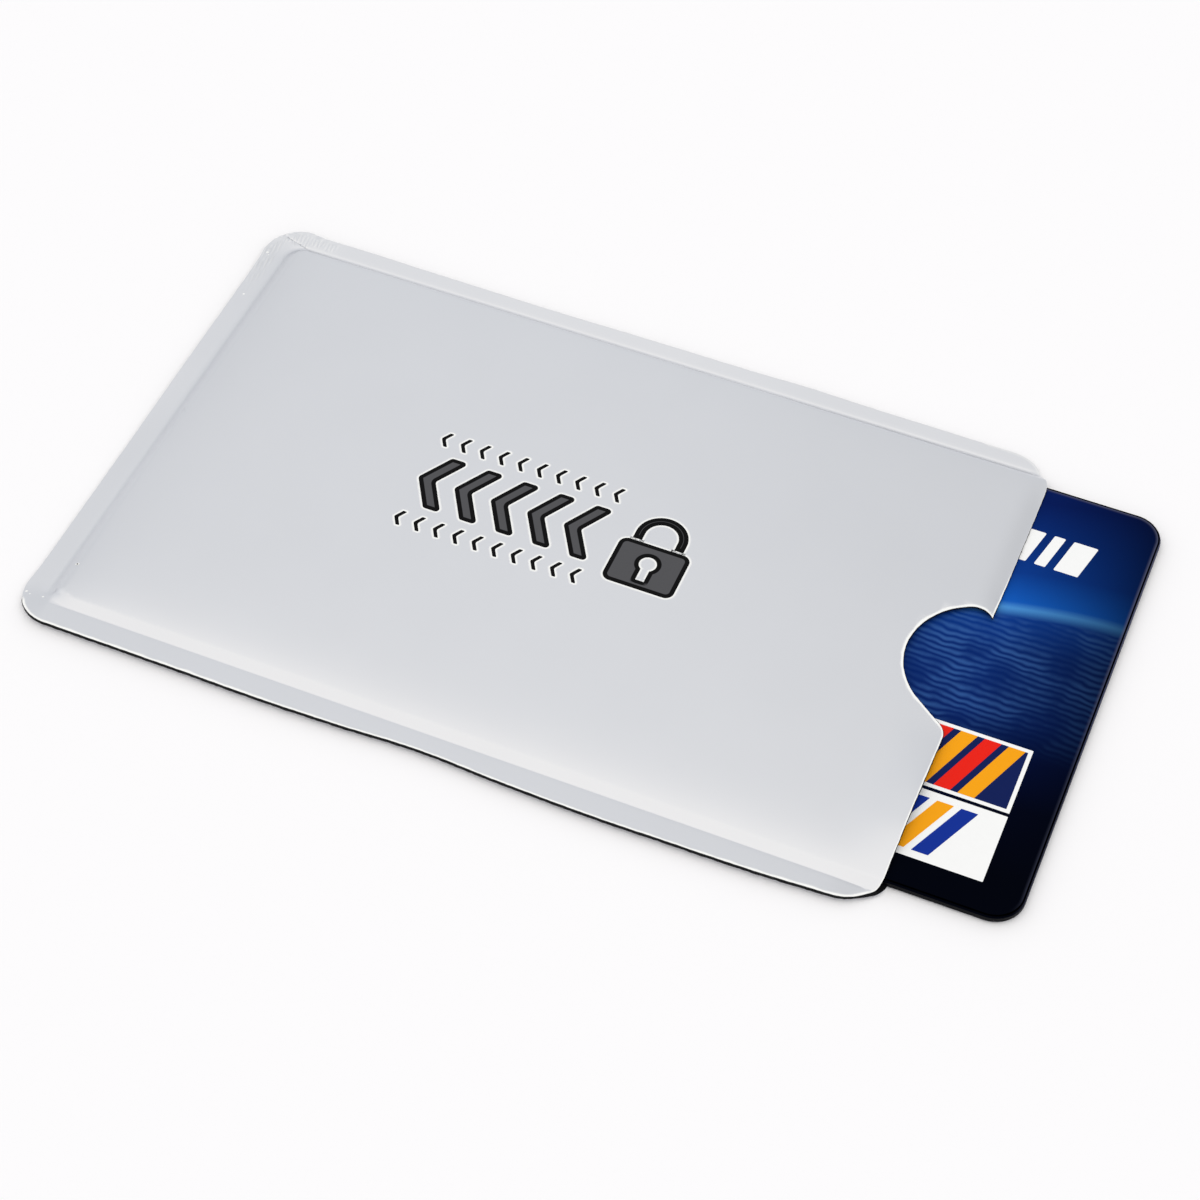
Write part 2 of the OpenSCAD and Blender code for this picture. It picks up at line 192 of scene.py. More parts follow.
class CardLook(bpy.types.PropertyGroup):
    """Sizes and colours of the card"""
    corner_r: length("Card corner", "Radius of the card's corners", 3.18)
    edge_r: length("Card edge", "Rounding of the card's printed face along its edge", 0.30)
    glow: colour("Glow", "Lightest blue of the printed card", "#4a90d4")
    thread: colour("Threads", "Pale blue of the fine threads", "#4372b6")
    sky: colour("Sky", "Clear blue just past the glow", "#1459b8")
    blue: colour("Blue", "Main blue of the printed card", "#1045a0")
    navy: colour("Navy", "Dark blue of the printed card", "#071b56")
    night: colour("Night", "Darkest tone of the printed card", "#01030c")
    # Colour of the painted highlight along the card's far and outer edges
    rim: colour("Card rim", "Bare edge of the overlay", "#50536a")
    white: colour("Card white", "White of the printed blocks and frames", "#fbfbfb")
    red: colour("Red", "Red of the framed stripes", "#ee2113")
    amber: colour("Amber", "Amber of the framed stripes", "#fba610")
    royal: colour("Royal blue", "Blue of the framed stripes", "#0b2f96")


class StudioLook(bpy.types.PropertyGroup):
    """Camera and light"""
    azimuth: angle("Azimuth", "Direction of the camera round the sleeve", 21.245)
    elevation: angle("Elevation", "Height of the camera over the table", 50.743)
    roll: angle("Roll", "Turn of the camera about its line of sight", 1.623)
    distance: length("Distance", "Distance of the camera", 288.48, high=2000)
    lens: FloatProperty(name="Lens", description="Focal length in millimetres", default=83.04)
    top_light: share("Top light", "Strength of the large light overhead", 1.235, high=3)
    top_lean: angle("Top light lean", "Lean of the overhead light towards the near side", 10)
    top_inner: angle("Top light inside", "Half angle within which the overhead light is even", 32)
    top_outer: angle("Top light outside", "Half angle at which the overhead light has died away", 49)
    tent_light: share("Tent light", "Strength of the upper walls of the light tent", 0.96, high=3)
    low_light: share("Low light", "Strength of the light tent near the table", 0.88, high=3)
    near_light: share("Near light", "Strength of the light tent behind the camera", 0.74, high=3)
    top_tint: colour("Top tint", "Colour of the large light overhead", "#fffdf9")
    wall_tint: colour("Wall tint", "Colour of the light tent's walls", "#fbfdff")
    flag: share("Mouth flag", "Light that a dark flag takes away past the far corner of the mouth", 0.34)
    end_flag: share("End flag", "Light that a dark flag takes away past the closed end", 0.12)


def in_mm(group):
    """Values of a property group with its lengths in millimetres."""
    values = {}
    for prop in group.bl_rna.properties:
        if prop.identifier in ("rna_type", "name"):
            continue
        value = getattr(group, prop.identifier)
        values[prop.identifier] = value / MM if getattr(prop, "unit", "NONE") == "LENGTH" else value
    return SimpleNamespace(**values)


def smooth(t):
    """Eased step from 0 to 1."""
    t = np.clip(t, 0.0, 1.0)
    return t * t * (3.0 - 2.0 * t)


def ease(value, start, run):
    """Eased step that leaves 0 at start and is 1 a run further on, or further back where the run
    is negative."""
    return smooth((value - start) / run)


def bell(x, bows):
    """Sum of smooth bumps at x, each with its place, half length and height."""
    return sum(height * np.exp(-((x - at) / half) ** 2) for at, half, height in bows)


def grid(xs, ys):
    """Plan points of a grid."""
    return np.stack([g.ravel() for g in np.meshgrid(xs, ys)], 1)


def rectangle(low, high, inset):
    """Corner points of a rectangle, drawn in by an inset or let out by a negative one."""
    return [(low.x + inset, low.y + inset), (high.x - inset, low.y + inset),
            (high.x - inset, high.y - inset), (low.x + inset, high.y - inset)]


def line_points(start, end, step):
    """Points from start up to, but without, end."""
    start, end = np.array(start, float), np.array(end, float)
    count = max(1, round(float(np.linalg.norm(end - start)) / step))
    return [start + (end - start) * i / count for i in range(count)]


def polyline(spots, step):
    """Points along the straight runs between spots, without the last one."""
    return [p for start, end in zip(spots, spots[1:]) for p in line_points(start, end, step)]


def arc_points(centre, r, start, end, step):
    """Points on an arc between two angles in degrees, without the last one."""
    count = max(2, round(abs(math.radians(end - start)) * r / step))
    turns = [math.radians(start + (end - start) * i / count) for i in range(count)]
    return [np.array((centre[0] + r * math.cos(a), centre[1] + r * math.sin(a))) for a in turns]


def rounded(corner_points, radii, step):
    """Closed outline through corner points, each rounded with its own radius."""
    count = len(corner_points)
    spots = [np.array(p, float) for p in corner_points]
    arcs = []
    for i, here in enumerate(spots):
        before, after = spots[i - 1], spots[(i + 1) % count]
        r = radii[i] if hasattr(radii, "__len__") else radii
        into = (here - before) / np.linalg.norm(here - before)
        out = (after - here) / np.linalg.norm(after - here)
        turn = math.atan2(into[0] * out[1] - into[1] * out[0], float(into @ out))
        reach = r * math.tan(abs(turn) / 2)
        side = math.copysign(1.0, turn)
        centre = here - into * reach + side * r * np.array((-into[1], into[0]))
        first = math.degrees(math.atan2(-side * into[0], side * into[1]))
        arcs.append(arc_points(centre, r, first, first + math.degrees(turn), step) + [here + out * reach])
    points = []
    for i, arc in enumerate(arcs):
        points += arc + line_points(arc[-1], arcs[(i + 1) % count][0], 4 * step)[1:]
    return np.array(points)


def offset_outline(points, distance):
    """Closed outline moved out by a distance, or in where it is negative."""
    after, before = np.roll(points, -1, axis=0), np.roll(points, 1, axis=0)
    edges = [after - points, points - before]
    normals = [np.stack((e[:, 1], -e[:, 0]), 1) / np.linalg.norm(e, axis=1)[:, None] for e in edges]
    mean = normals[0] + normals[1]
    mean /= np.maximum((mean * mean).sum(1) / 2, 0.4)[:, None]
    return points + mean * distance


def inside(outline, x, y):
    """Which points lie inside a closed outline."""
    found = np.zeros(np.shape(x), bool)
    for (x0, y0), (x1, y1) in zip(outline, np.roll(outline, -1, axis=0)):
        if y0 == y1:
            continue
        crosses = (y0 > y) != (y1 > y)
        found ^= crosses & (x < (x1 - x0) * (y - y0) / (y1 - y0) + x0)
    return found


def distance_to(outline, x, y):
    """Distance of points to a closed outline."""
    nearest = np.full(np.shape(x), np.inf)
    for (x0, y0), (x1, y1) in zip(outline, np.roll(outline, -1, axis=0)):
        run = (x1 - x0) ** 2 + (y1 - y0) ** 2
        t = np.clip(((x - x0) * (x1 - x0) + (y - y0) * (y1 - y0)) / max(run, 1e-12), 0.0, 1.0)
        nearest = np.minimum(nearest, np.hypot(x - x0 - t * (x1 - x0), y - y0 - t * (y1 - y0)))
    return nearest


def triangulate(outline, holes=(), lines=(), points=()):
    """Plan points and triangles of the area in outline, less its holes, with every line kept."""
    coords, edges = [], []
    for line, closed in [(outline, True), *[(h, True) for h in holes], *[(l, False) for l in lines]]:
        first = len(coords)
        coords += [Vector(p) for p in line]
        edges += [(i, i + 1) for i in range(first, len(coords) - 1)]
        if closed:
            edges.append((len(coords) - 1, first))
    coords += [Vector(p) for p in points]
    made = delaunay_2d_cdt(coords, edges, [], 0, 1e-7)
    plan = np.array([tuple(v) for v in made[0]])
    triangles = np.array([f for f in made[2] if len(f) == 3])
    middle = plan[triangles].mean(axis=1)
    keep = inside(outline, middle[:, 0], middle[:, 1])
    for hole in holes:
        keep &= ~inside(hole, middle[:, 0], middle[:, 1])
    triangles = triangles[keep]
    a, b, c = (plan[triangles[:, k]] for k in range(3))
    area = (b[:, 0] - a[:, 0]) * (c[:, 1] - a[:, 1]) - (b[:, 1] - a[:, 1]) * (c[:, 0] - a[:, 0])
    triangles[area < 0] = triangles[area < 0][:, ::-1]
    # Slivers between points on one straight line have no height to speak of
    longest = np.max([np.linalg.norm(p - q, axis=1) for p, q in ((a, b), (b, c), (c, a))], axis=0)
    return plan, triangles[np.abs(area) > longest * 2e-4]


def shell(name, triangles, low, high, marks=None, walls=()):
    """Closed piece between two surfaces that share their triangles, with optional rings in its
    walls and optional values on its points, given in millimetres."""
    used = np.unique(triangles)
    place = np.full(len(low), -1)
    place[used] = np.arange(len(used))
    local = place[triangles]
    levels = [low[used], *[w[used] for w in walls], high[used]]
    count = len(used)
    top = (len(levels) - 1) * count
    directed = {(int(a), int(b)) for t in local for a, b in ((t[0], t[1]), (t[1], t[2]), (t[2], t[0]))}
    rim = [(a, b) for a, b in directed if (b, a) not in directed]
    rim.sort()
    faces = [tuple(int(i) + top for i in t) for t in local]
    faces += [tuple(int(i) for i in t[::-1]) for t in local]
    for k in range(len(levels) - 1):
        lower, upper = k * count, (k + 1) * count
        faces += [(a + lower, b + lower, b + upper, a + upper) for a, b in rim]
    points = np.concatenate(levels)
    if walls:
        on_rim = np.zeros(count, bool)
        on_rim[[i for edge in rim for i in edge]] = True
        keep = np.concatenate([np.ones(count, bool), *[on_rim] * len(walls), np.ones(count, bool)])
        new = np.cumsum(keep) - 1
        faces = [tuple(int(new[i]) for i in f) for f in faces]
        points = points[keep]
    piece = add_mesh(name, points, faces)
    mesh = piece.data
    sharp = {tuple(sorted((a + s, b + s))) for a, b in rim for s in (0, len(points) - count)}
    if walls:
        sharp = {e for e in sharp if e[0] < count}
    flags = [tuple(sorted(e.vertices)) in sharp for e in mesh.edges]
    mesh.attributes.new("sharp_edge", "BOOLEAN", "EDGE").data.foreach_set("value", flags)
    for key, values in (marks or {}).items():
        value = np.tile(values[used], len(levels))
        if walls:
            value = value[keep]
        layer = mesh.attributes.new(key, "FLOAT", "POINT")
        layer.data.foreach_set("value", value.astype(np.float32))
    return piece


def add_mesh(name, points, faces):
    """Adds a smooth-shaded mesh whose points are given in millimetres."""
    mesh = bpy.data.meshes.new(name)
    mesh.from_pydata([tuple(p) for p in np.asarray(points) * MM], [], faces)
    mesh.polygons.foreach_set("use_smooth", [True] * len(mesh.polygons))
    mesh.validate()
    mesh.update()
    piece = bpy.data.objects.new(name, mesh)
    bpy.context.scene.collection.objects.link(piece)
    return piece


def dress(piece, body, finish, replaced=()):
    """Gives a piece its material, hangs it on the body it rides on and hides the CAD nodes it replaces."""
    piece.data.materials.clear()
    piece.data.materials.append(finish)
    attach(piece, body)
    if replaced:
        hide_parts(*replaced)


def sleeve_outline(s):
    """Trimmed outline of both webs, anticlockwise from the near end of the mouth."""
    step = 0.3
    notch_x = MOUTH_X - s.notch_depth + s.notch_r
    lip_turn = 115.0
    lip = [c + (s.notch_r - s.notch_lip_r) * f(math.radians(lip_turn))
           for c, f in ((notch_x, math.cos), (s.notch_shift, math.sin))]
    lip_start = math.degrees(math.acos((MOUTH_X - lip[0]) / s.notch_lip_r))
    lip_end_y = lip[1] + s.notch_lip_r * math.sin(math.radians(lip_start))
    flank_turn = 270.0 - math.degrees(s.notch_flank)
    flank = [c + s.notch_r * f(math.radians(flank_turn))
             for c, f in ((notch_x, math.cos), (s.notch_shift, math.sin))]
    flank_end_y = flank[1] - (MOUTH_X - flank[0]) * math.tan(s.notch_flank)
    # The flank meets the mouth in a small convex arc
    bend = math.pi / 2 - s.notch_flank
    blend_reach = s.notch_blend_r * math.tan(bend / 2)
    blend = (MOUTH_X - s.notch_blend_r, flank_end_y - blend_reach)
    blend_end = [blend[0] + s.notch_blend_r * math.sin(s.notch_flank),
                 blend[1] + s.notch_blend_r * math.cos(s.notch_flank)]
    e, m, far_e, far_m = s.end_corner_r, s.mouth_corner_r, s.far_end_corner_r, s.far_mouth_corner_r
    near_y = -HALF_W - s.near_trim
    points = line_points((MOUTH_X, near_y + m), (MOUTH_X, blend[1]), step)
    points += arc_points(blend, s.notch_blend_r, 0, math.degrees(bend), step)
    points += line_points(blend_end, flank, step)
    points += arc_points((notch_x, s.notch_shift), s.notch_r, flank_turn, lip_turn, step)
    points += arc_points(lip, s.notch_lip_r, lip_turn, lip_start, step)
    points += line_points((MOUTH_X, lip_end_y), (MOUTH_X, HALF_W - far_m), step)
    points += arc_points((MOUTH_X - far_m, HALF_W - far_m), far_m, 0, 90, step)
    points += line_points((MOUTH_X - far_m, HALF_W), (FILM_LOW.x + far_e, HALF_W), step)
    points += arc_points((FILM_LOW.x + far_e, HALF_W - far_e), far_e, 90, 180, step)
    points += line_points((FILM_LOW.x, HALF_W - far_e), (FILM_LOW.x, near_y + e), step)
    points += arc_points((FILM_LOW.x + e, near_y + e), e, 180, 270, step)
    points += line_points((FILM_LOW.x + e, near_y), (MOUTH_X - m, near_y), step)
    points += arc_points((MOUTH_X - m, near_y + m), m, 270, 360, step)
    return drawn_in(np.array(points), s)


# How far each long cut is drawn in, on top of its trim: place along it, half length and depth
NEAR_BOWS = [(-18.5, 5.0, -0.08), (-0.5, 7.0, 0.46), (18.5, 6.0, -0.12), (46.0, 9.0, 0.62)]
FAR_BOWS = [(-36.0, 7.0, -0.14), (-12.0, 8.0, 0.09), (18.0, 5.0, -0.15), (40.0, 7.0, 0.07)]


def drawn_in(points, s):
    """Outline whose straight cuts waver and are drawn in between their corners."""
    x, y = points.T
    near = bell(x, NEAR_BOWS)
    far = s.far_trim * ease(x, -42.8, 2.8) + bell(x, FAR_BOWS) * ease(x, -43.5, 4.0)
    end = s.end_trim * ease(np.abs(y), 27.5, -4.0) * ease(x, -40.0, -4.0)
    up = near * ease(y, -27.5, -3.0) - far * ease(y, 26.5, 3.0)
    # The far corner of the mouth is cut off flatter than an arc
    flat_x, flat_y, flat_reach, flat_depth = 45.5, 28.2, 1.3, 0.34
    flat = flat_depth * np.exp(-((x - flat_x) ** 2 + (y - flat_y) ** 2) / flat_reach ** 2)
    return np.column_stack((x + end - 0.75 * flat, y + up - 0.66 * flat))


def crease_y(x):
    """Line of the crease that carries the far seal's inner line on to the closed end."""
    start_x, start_y, slope = -42.28, 28.62, -0.247
    return start_y + slope * (x - start_x)


def ragged(outline, depth):
    """The small waver of a knife cut, always inwards."""
    return offset_outline(outline, -depth * waver(outline, (0.9, 1.7, 3.1, 7.3))[:, None])


def waver(outline, pitches):
    """Irregular run of values from 0 to 1 along an outline."""
    along = np.cumsum(np.linalg.norm(outline - np.roll(outline, 1, axis=0), axis=1))
    return 0.5 + 0.5 * sum(np.sin(along * 2 * np.pi / pitch + pitch) for pitch in pitches) / len(pitches)


def squeezed(plan, to_cut, outline, width):
    """Plan points with those on the cut moved out square to it by a width for each outline point."""
    out = offset_outline(outline, 1.0) - outline
    rim = np.flatnonzero(to_cut < 1e-4)
    nearest = np.argmin(((plan[rim, None] - outline[None]) ** 2).sum(axis=2), axis=1)
    moved = plan.copy()
    moved[rim] += out[nearest] * width[nearest][:, None]
    return moved


class SleeveForm:
    """Heights of the formed webs over the plan of the sleeve."""

    def __init__(self, s):
        self.s = s

    def corner(self, y):
        """Radius and centre of the foot of the step at the closed end's corner on y's side."""
        r = np.where(np.asarray(y) < 0, self.s.pocket_corner_r, self.s.far_pocket_r)
        return r, FOOT_LOW.x + r, FOOT_HIGH.y - r

    def foot_distance(self, x, y):
        """Distance inwards from the foot of the step, negative over the seals."""
        r, corner_x, corner_y = self.corner(y)
        radial = r - np.hypot(np.minimum(x - corner_x, 0.0), np.maximum(np.abs(y) - corner_y, 0.0))
        straight = np.where(x >= corner_x, FOOT_HIGH.y - np.abs(y), x - FOOT_LOW.x)
        in_corner = (x < corner_x) & (np.abs(y) > corner_y)
        return np.where(in_corner, radial, straight)

    def by_side(self, x, y, near, far, end):
        """A value that differs from side to side, eased round the corners."""
        _, corner_x, corner_y = self.corner(y)
        turn = np.arctan2(np.maximum(corner_x - x, 0.0), np.maximum(np.abs(y) - corner_y, 1e-9))
        side = np.where(y < 0, near, far)
        return side + (end - side) * smooth(turn / (np.pi / 2))

    def table_gap(self, x, y):
        """Height of the back web's outer side: flat under the card, lifted at the seals."""
        q = self.foot_distance(x, y)
        lift = self.by_side(x, y, self.s.near_float, self.s.far_float, self.s.end_float)
        return lift * ease(q, 1.0, -0.95) + self.curl(x, y) * self.past_hinge(q)

    def past_hinge(self, q):
        """Distance past the line at which the seals begin to curl."""
        hinge = 0.2
        return np.maximum(-q - hinge, 0.0)

    def curl(self, x, y):
        """Slope at which each seal rises to its cut edge."""
        s = self.s
        # The far seal curls a little less towards the mouth
        far = math.tan(s.far_curl) * (1 - 0.25 * ease(x, 0.0, 20.0))
        curl, droop = math.tan(s.end_curl), math.tan(s.end_droop)
        end = (curl + droop) * ease(y, -8.0, 16.0) - droop
        return self.by_side(x, y, math.tan(s.near_curl), far, end)

    def crimp(self, x, y):
        """Fine ridges that the heated bars press into the far corner of the closed end."""
        from_cut = x - FILM_LOW.x
        end = ease(from_cut, 2.0, -0.8) * ease(y, 18.0, 7.0)
        side = ease(y, FOOT_HIGH.y, 0.3) * ease(from_cut, 9.0, -3.5)
        strength = np.maximum(end, side) * smooth(-self.foot_distance(x, y) / 0.25)
        ridges = 1 + np.cos(2 * np.pi * (x + 0.06 * y) / self.s.crimp_pitch)
        strokes = 0.5 + 0.5 * np.cos(2 * np.pi * (y / 1.9 + 0.8 * x / self.s.crimp_pitch))
        return self.s.crimp_h * strength * ridges * (0.2 + 0.8 * strokes)

    def crease(self, x, y):
        """Short crease that carries the line of the far seal on to the closed end."""
        depth, half_w = 0.045, 0.065
        along = ease(x, -41.6, -0.5) * ease(x, -45.7, 0.4)
        return -depth * along * np.exp(-((y - crease_y(x)) / half_w) ** 2)

    def crown(self, x, y):
        """Height of the front web's inner side away from the step."""
        s = self.s
        from_near = np.maximum(y + CROWN_HALF_W, 0.0)
        from_far = np.maximum(CROWN_HALF_W - y, 0.0)
        across = from_near / (from_near + from_far)
        pillow = s.pillow_h * (1 - np.exp(-from_near / s.near_reach))
        pillow += s.crown_h * 4 * across * (1 - across)
        pillow -= s.far_dip * np.exp(-from_far / s.far_reach)
        from_end = np.maximum(x - FOOT_LOW.x - 1.5, 0.0)
        # The near half rises more slowly past the closed end
        pillow *= 1 - np.exp(-from_end / (s.end_reach + 1.4 * ease(y, 4.0, -12.0)))
        # The far half sinks a little towards the mouth, and again right at it
        droop = 0.16 * ease(x, 8.0, 24.0) * ease(y, 2.0, 20.0)
        dip = s.mouth_dip * np.clip(1 - (MOUTH_X - x) / 2.0, 0.0, 1.0) ** 2
        dip = dip * ease(y, 6.0, 5.0) * ease(y, 28.0, -5.0)
        gape = s.gape_h * ease(x, 40.0, 6.2) * ease(y, -28.4, 8.0) * ease(y, -8.0, -10.0)
        swells = sum(h * np.exp(-((x - cx) / w) ** 2 - ((y - cy) / d) ** 2)
                     for cx, cy, w, d, h in SWELLS)
        return POCKET_Z + pillow - droop - dip + gape + swells

    def rise(self, q, width, foot, shoulder):
        """Share of a step's height at a distance from its foot: fillet, slope and shoulder."""
        a = np.clip(q / foot, 0.0, 1.0)
        straight = np.clip(q - foot, 0.0, width - foot - shoulder)
        b = np.clip((q - width + shoulder) / shoulder, 0.0, 1.0)
        run = foot * (a ** 3 - a ** 4 / 2) + straight + shoulder * (b - b ** 3 + b ** 4 / 2)
        return run / (width - (foot + shoulder) / 2)

    def step_share(self, x, y):
        """Share of the step's height that is reached from the sides and from the closed end."""
        # The near step is gentler past the card's rounded corner
        soft = ease(x, -40.6, -2.6)
        near = self.rise(y - FOOT_LOW.y + 0.15, 1.3 + soft, 0.16 + 0.5 * soft, 0.4 + 0.3 * soft)
        near = near * self.rise(x - FOOT_LOW.x, 1.95, 0.6, 0.75)
        width = self.by_side(x, y, 0.0, 1.4, 1.95)
        foot = self.by_side(x, y, 0.1, 0.12, 0.6)
        shoulder = self.by_side(x, y, 0.1, 0.7, 0.75)
        q = self.foot_distance(x, y) - self.by_side(x, y, 0.0, 0.06, 0.0)
        far = self.rise(q, width, foot, shoulder)
        return np.where(y < 0, near, far)

    def inner(self, x, y):
        """Height of the front web's inner side."""
        s, q = self.s, self.foot_distance(x, y)
        # The bead of melt thins out at the mouth
        bead = s.near_bead * (1 - 0.6 * ease(x, 41.5, 3.5))
        lift = self.by_side(x, y, s.near_float + bead, s.far_float, s.end_float)
        seal = lift + self.curl(x, y) * self.past_hinge(q) + WEB_T
        # The bars leave a groove along the near step and a shoulder along the far one
        groove = self.by_side(x, y, 0.012, 0.0, 0.0) * np.exp(-((q + 0.2) / 0.12) ** 2)
        shoulder = self.by_side(x, y, 0.0, 0.032, 0.0) * ease(-q, 0.08, 0.36)
        pressed = self.crimp(x, y) + self.crease(x, y) + shoulder - groove
        return seal + (self.crown(x, y) - seal) * self.step_share(x, y) + pressed

    def base(self, x, y):
        """Height of the back web's outer side."""
        return self.table_gap(x, y) + self.crimp(x, y)

    def front(self, plan, up):
        """Points at a height over the inner side of the front web, measured square to it."""
        return self.raised(self.inner, plan, up)

    def back(self, plan, up):
        """Points at a height over the outer side of the back web."""
        return self.raised(self.base, plan, up)

    def raised(self, height, plan, up):
        x, y = plan[:, 0], plan[:, 1]
        d = 0.004
        along = (height(x + d, y) - height(x - d, y)) / (2 * d)
        across = (height(x, y + d) - height(x, y - d)) / (2 * d)
        normal = np.stack((-along, -across, np.ones(len(x))), 1)
        normal /= np.linalg.norm(normal, axis=1)[:, None]
        up = np.broadcast_to(up, len(x))[:, None]
        return np.stack((x, y, height(x, y)), 1) + normal * up


# Soft swells of the front web: centre, two radii and height
SWELLS = [
    (-30.0, 12.0, 9.0, 7.0, 0.03),
    (-14.0, -16.0, 13.0, 6.0, 0.03),
    (14.0, 16.0, 10.0, 6.0, -0.03),
    (28.0, -10.0, 8.0, 9.0, 0.04),
    (36.0, 14.0, 6.0, 8.0, -0.03),
]


# Abraded spots of the film: centre and radius, the last one round a pinhole
SCUFFS = [(-45.7, 26.1, 0.12), (-45.4, 25.8, 0.08), (-45.1, 19.1, 0.11), (-45.7, -28.0, 0.12),
          (-45.2, -28.2, 0.08), (-43.7, -28.1, 0.11), (-42.3, -23.3, 0.17)]


def foot_line(form, q, step):
    """Line at a distance inwards from the foot of the step, from mouth to mouth."""
    half = FOOT_HIGH.y - q
    end_x = FOOT_LOW.x + q
    halves = []
    for corner_r in (form.s.far_pocket_r, form.s.pocket_corner_r):
        r = max(corner_r - q, 0.2)
        line = line_points((MOUTH_X + PAST_CUT, half), (end_x + r, half), step)
        line += arc_points((end_x + r, half - r), r, 90, 180, 0.2)
        halves.append(line + line_points((end_x, half - r), (end_x, 0.0), step))
    near = [np.array((p[0], -p[1])) for p in halves[1][::-1]]
    return np.array(halves[0] + [np.array((end_x, 0.0))] + near)


def sleeve_plan(form, outline):
    """Plan points and triangles shared by all layers of both webs."""
    s = form.s
    free = []
    for q in (-0.44, -0.38, -0.32, -0.26, -0.2, -0.14, -0.08, 0.07, 0.14, 0.2, 0.3, 0.42, 0.54, 0.66, 0.78,
              0.9, 1.02, 1.14, 1.28, 1.42, 1.58, 1.76, 1.98, 2.3, 2.7, 3.2):
        free.append(foot_line(form, q, 0.7))
    # Close points only where the far corner's ridges are, wide ones over the rest of the seals
    ridge_x = np.arange(FILM_LOW.x + 0.1, -37.0, s.crimp_pitch / 8)
    for xs, ys, ridged in ((ridge_x, np.arange(17.6, HALF_W - 0.3, 0.4), True),
                           (ridge_x[::9], np.arange(-30.2, 30.3, 1.0), False)):
        spots = grid(xs, ys)
        on_seal = form.foot_distance(*spots.T) < -0.4
        free.append(spots[on_seal & ((form.crimp(*spots.T) > 1e-5) == ridged)])
    crease_x = np.arange(-46.0, -41.8, 0.15)
    for off in (-0.15, -0.075, 0.0, 0.075, 0.15):
        free.append(np.stack((crease_x, crease_y(crease_x) + off), 1))
    pitch = 0.9
    spots = grid(np.arange(-41.0, MOUTH_X, pitch), np.arange(-27.0, 27.1, pitch))
    free.append(spots[form.foot_distance(*spots.T) > 3.6])
    free.append(grid(np.arange(-40.2, MOUTH_X, pitch), (-29.3, -30.0, 29.3, 30.0)))
    free = np.concatenate(free)
    clear = inside(outline, free[:, 0], free[:, 1]) & (distance_to(outline, *free.T) > 1.6 * s.rim_w)
    rims = [offset_outline(outline, -d) for d in (0.07, 0.14, 0.21, s.rim_w, 1.33 * s.rim_w)]
    rims = [r[inside(outline, *r.T) & (distance_to(outline, *r.T) > 0.06)] for r in rims]
    splits = []
    for side in (-1, 1):
        corner_x = float(form.corner(side)[1])
        cut_y = side * (HALF_W + PAST_CUT)
        splits.append(line_points((corner_x, side * FOOT_HIGH.y), (corner_x, cut_y), 0.08))
    points = np.concatenate([free[clear], *rims])
    return triangulate(outline, lines=[foot_line(form, 0.0, 0.7), *splits], points=points)


def node(tree, kind, inputs=None, **settings):
    """Adds a node, sets its settings, and fills or links its inputs."""
    made = tree.nodes.new(kind)
    for key, value in settings.items():
        setattr(made, key, value)
    for key, value in (inputs or {}).items():
        if isinstance(value, bpy.types.NodeSocket):
            tree.links.new(value, made.inputs[key])
        else:
            made.inputs[key].default_value = value
    return made


def material(name):
    """An empty node material and its tree."""
    made = bpy.data.materials.new(name)
    made.use_nodes = True
    made.node_tree.nodes.clear()
    return made, made.node_tree


def finish(tree, inputs):
    """Ends a material in one principled shader."""
    shader = node(tree, "ShaderNodeBsdfPrincipled", inputs)
    node(tree, "ShaderNodeOutputMaterial", {"Surface": shader.outputs["BSDF"]})
    return shader


def per_mm(size):
    """Scale of a texture over an object whose grains measure about size millimetres."""
    return 1.0 / (size * MM)


def opaque(rgb):
    return (*rgb, 1.0)


def between(first, second, factor):
    return tuple(a + (b - a) * factor for a, b in zip(first, second))


def scaled_colour(rgb, factor):
    return opaque([min(1.0, c * factor) for c in rgb])


def mottled(tree, rgb, first, last, size, stretch=(1.0, 1.0, 1.0)):
    """Colour that wanders between two shades of itself in grains of a size in millimetres, which
    are long along each axis whose stretch is under 1."""
    place = node(tree, "ShaderNodeTexCoord")
    drawn = node(tree, "ShaderNodeVectorMath", {0: place.outputs["Object"], 1: stretch},
                 operation="MULTIPLY")
    grain = node(tree, "ShaderNodeTexNoise", {"Vector": drawn.outputs[0], "Scale": per_mm(size)})
    shades = {"A": scaled_colour(rgb, first), "B": scaled_colour(rgb, last)}
    tone = node(tree, "ShaderNodeMix", {"Factor": grain.outputs["Fac"], **shades}, data_type="RGBA")
    return tone.outputs[2]


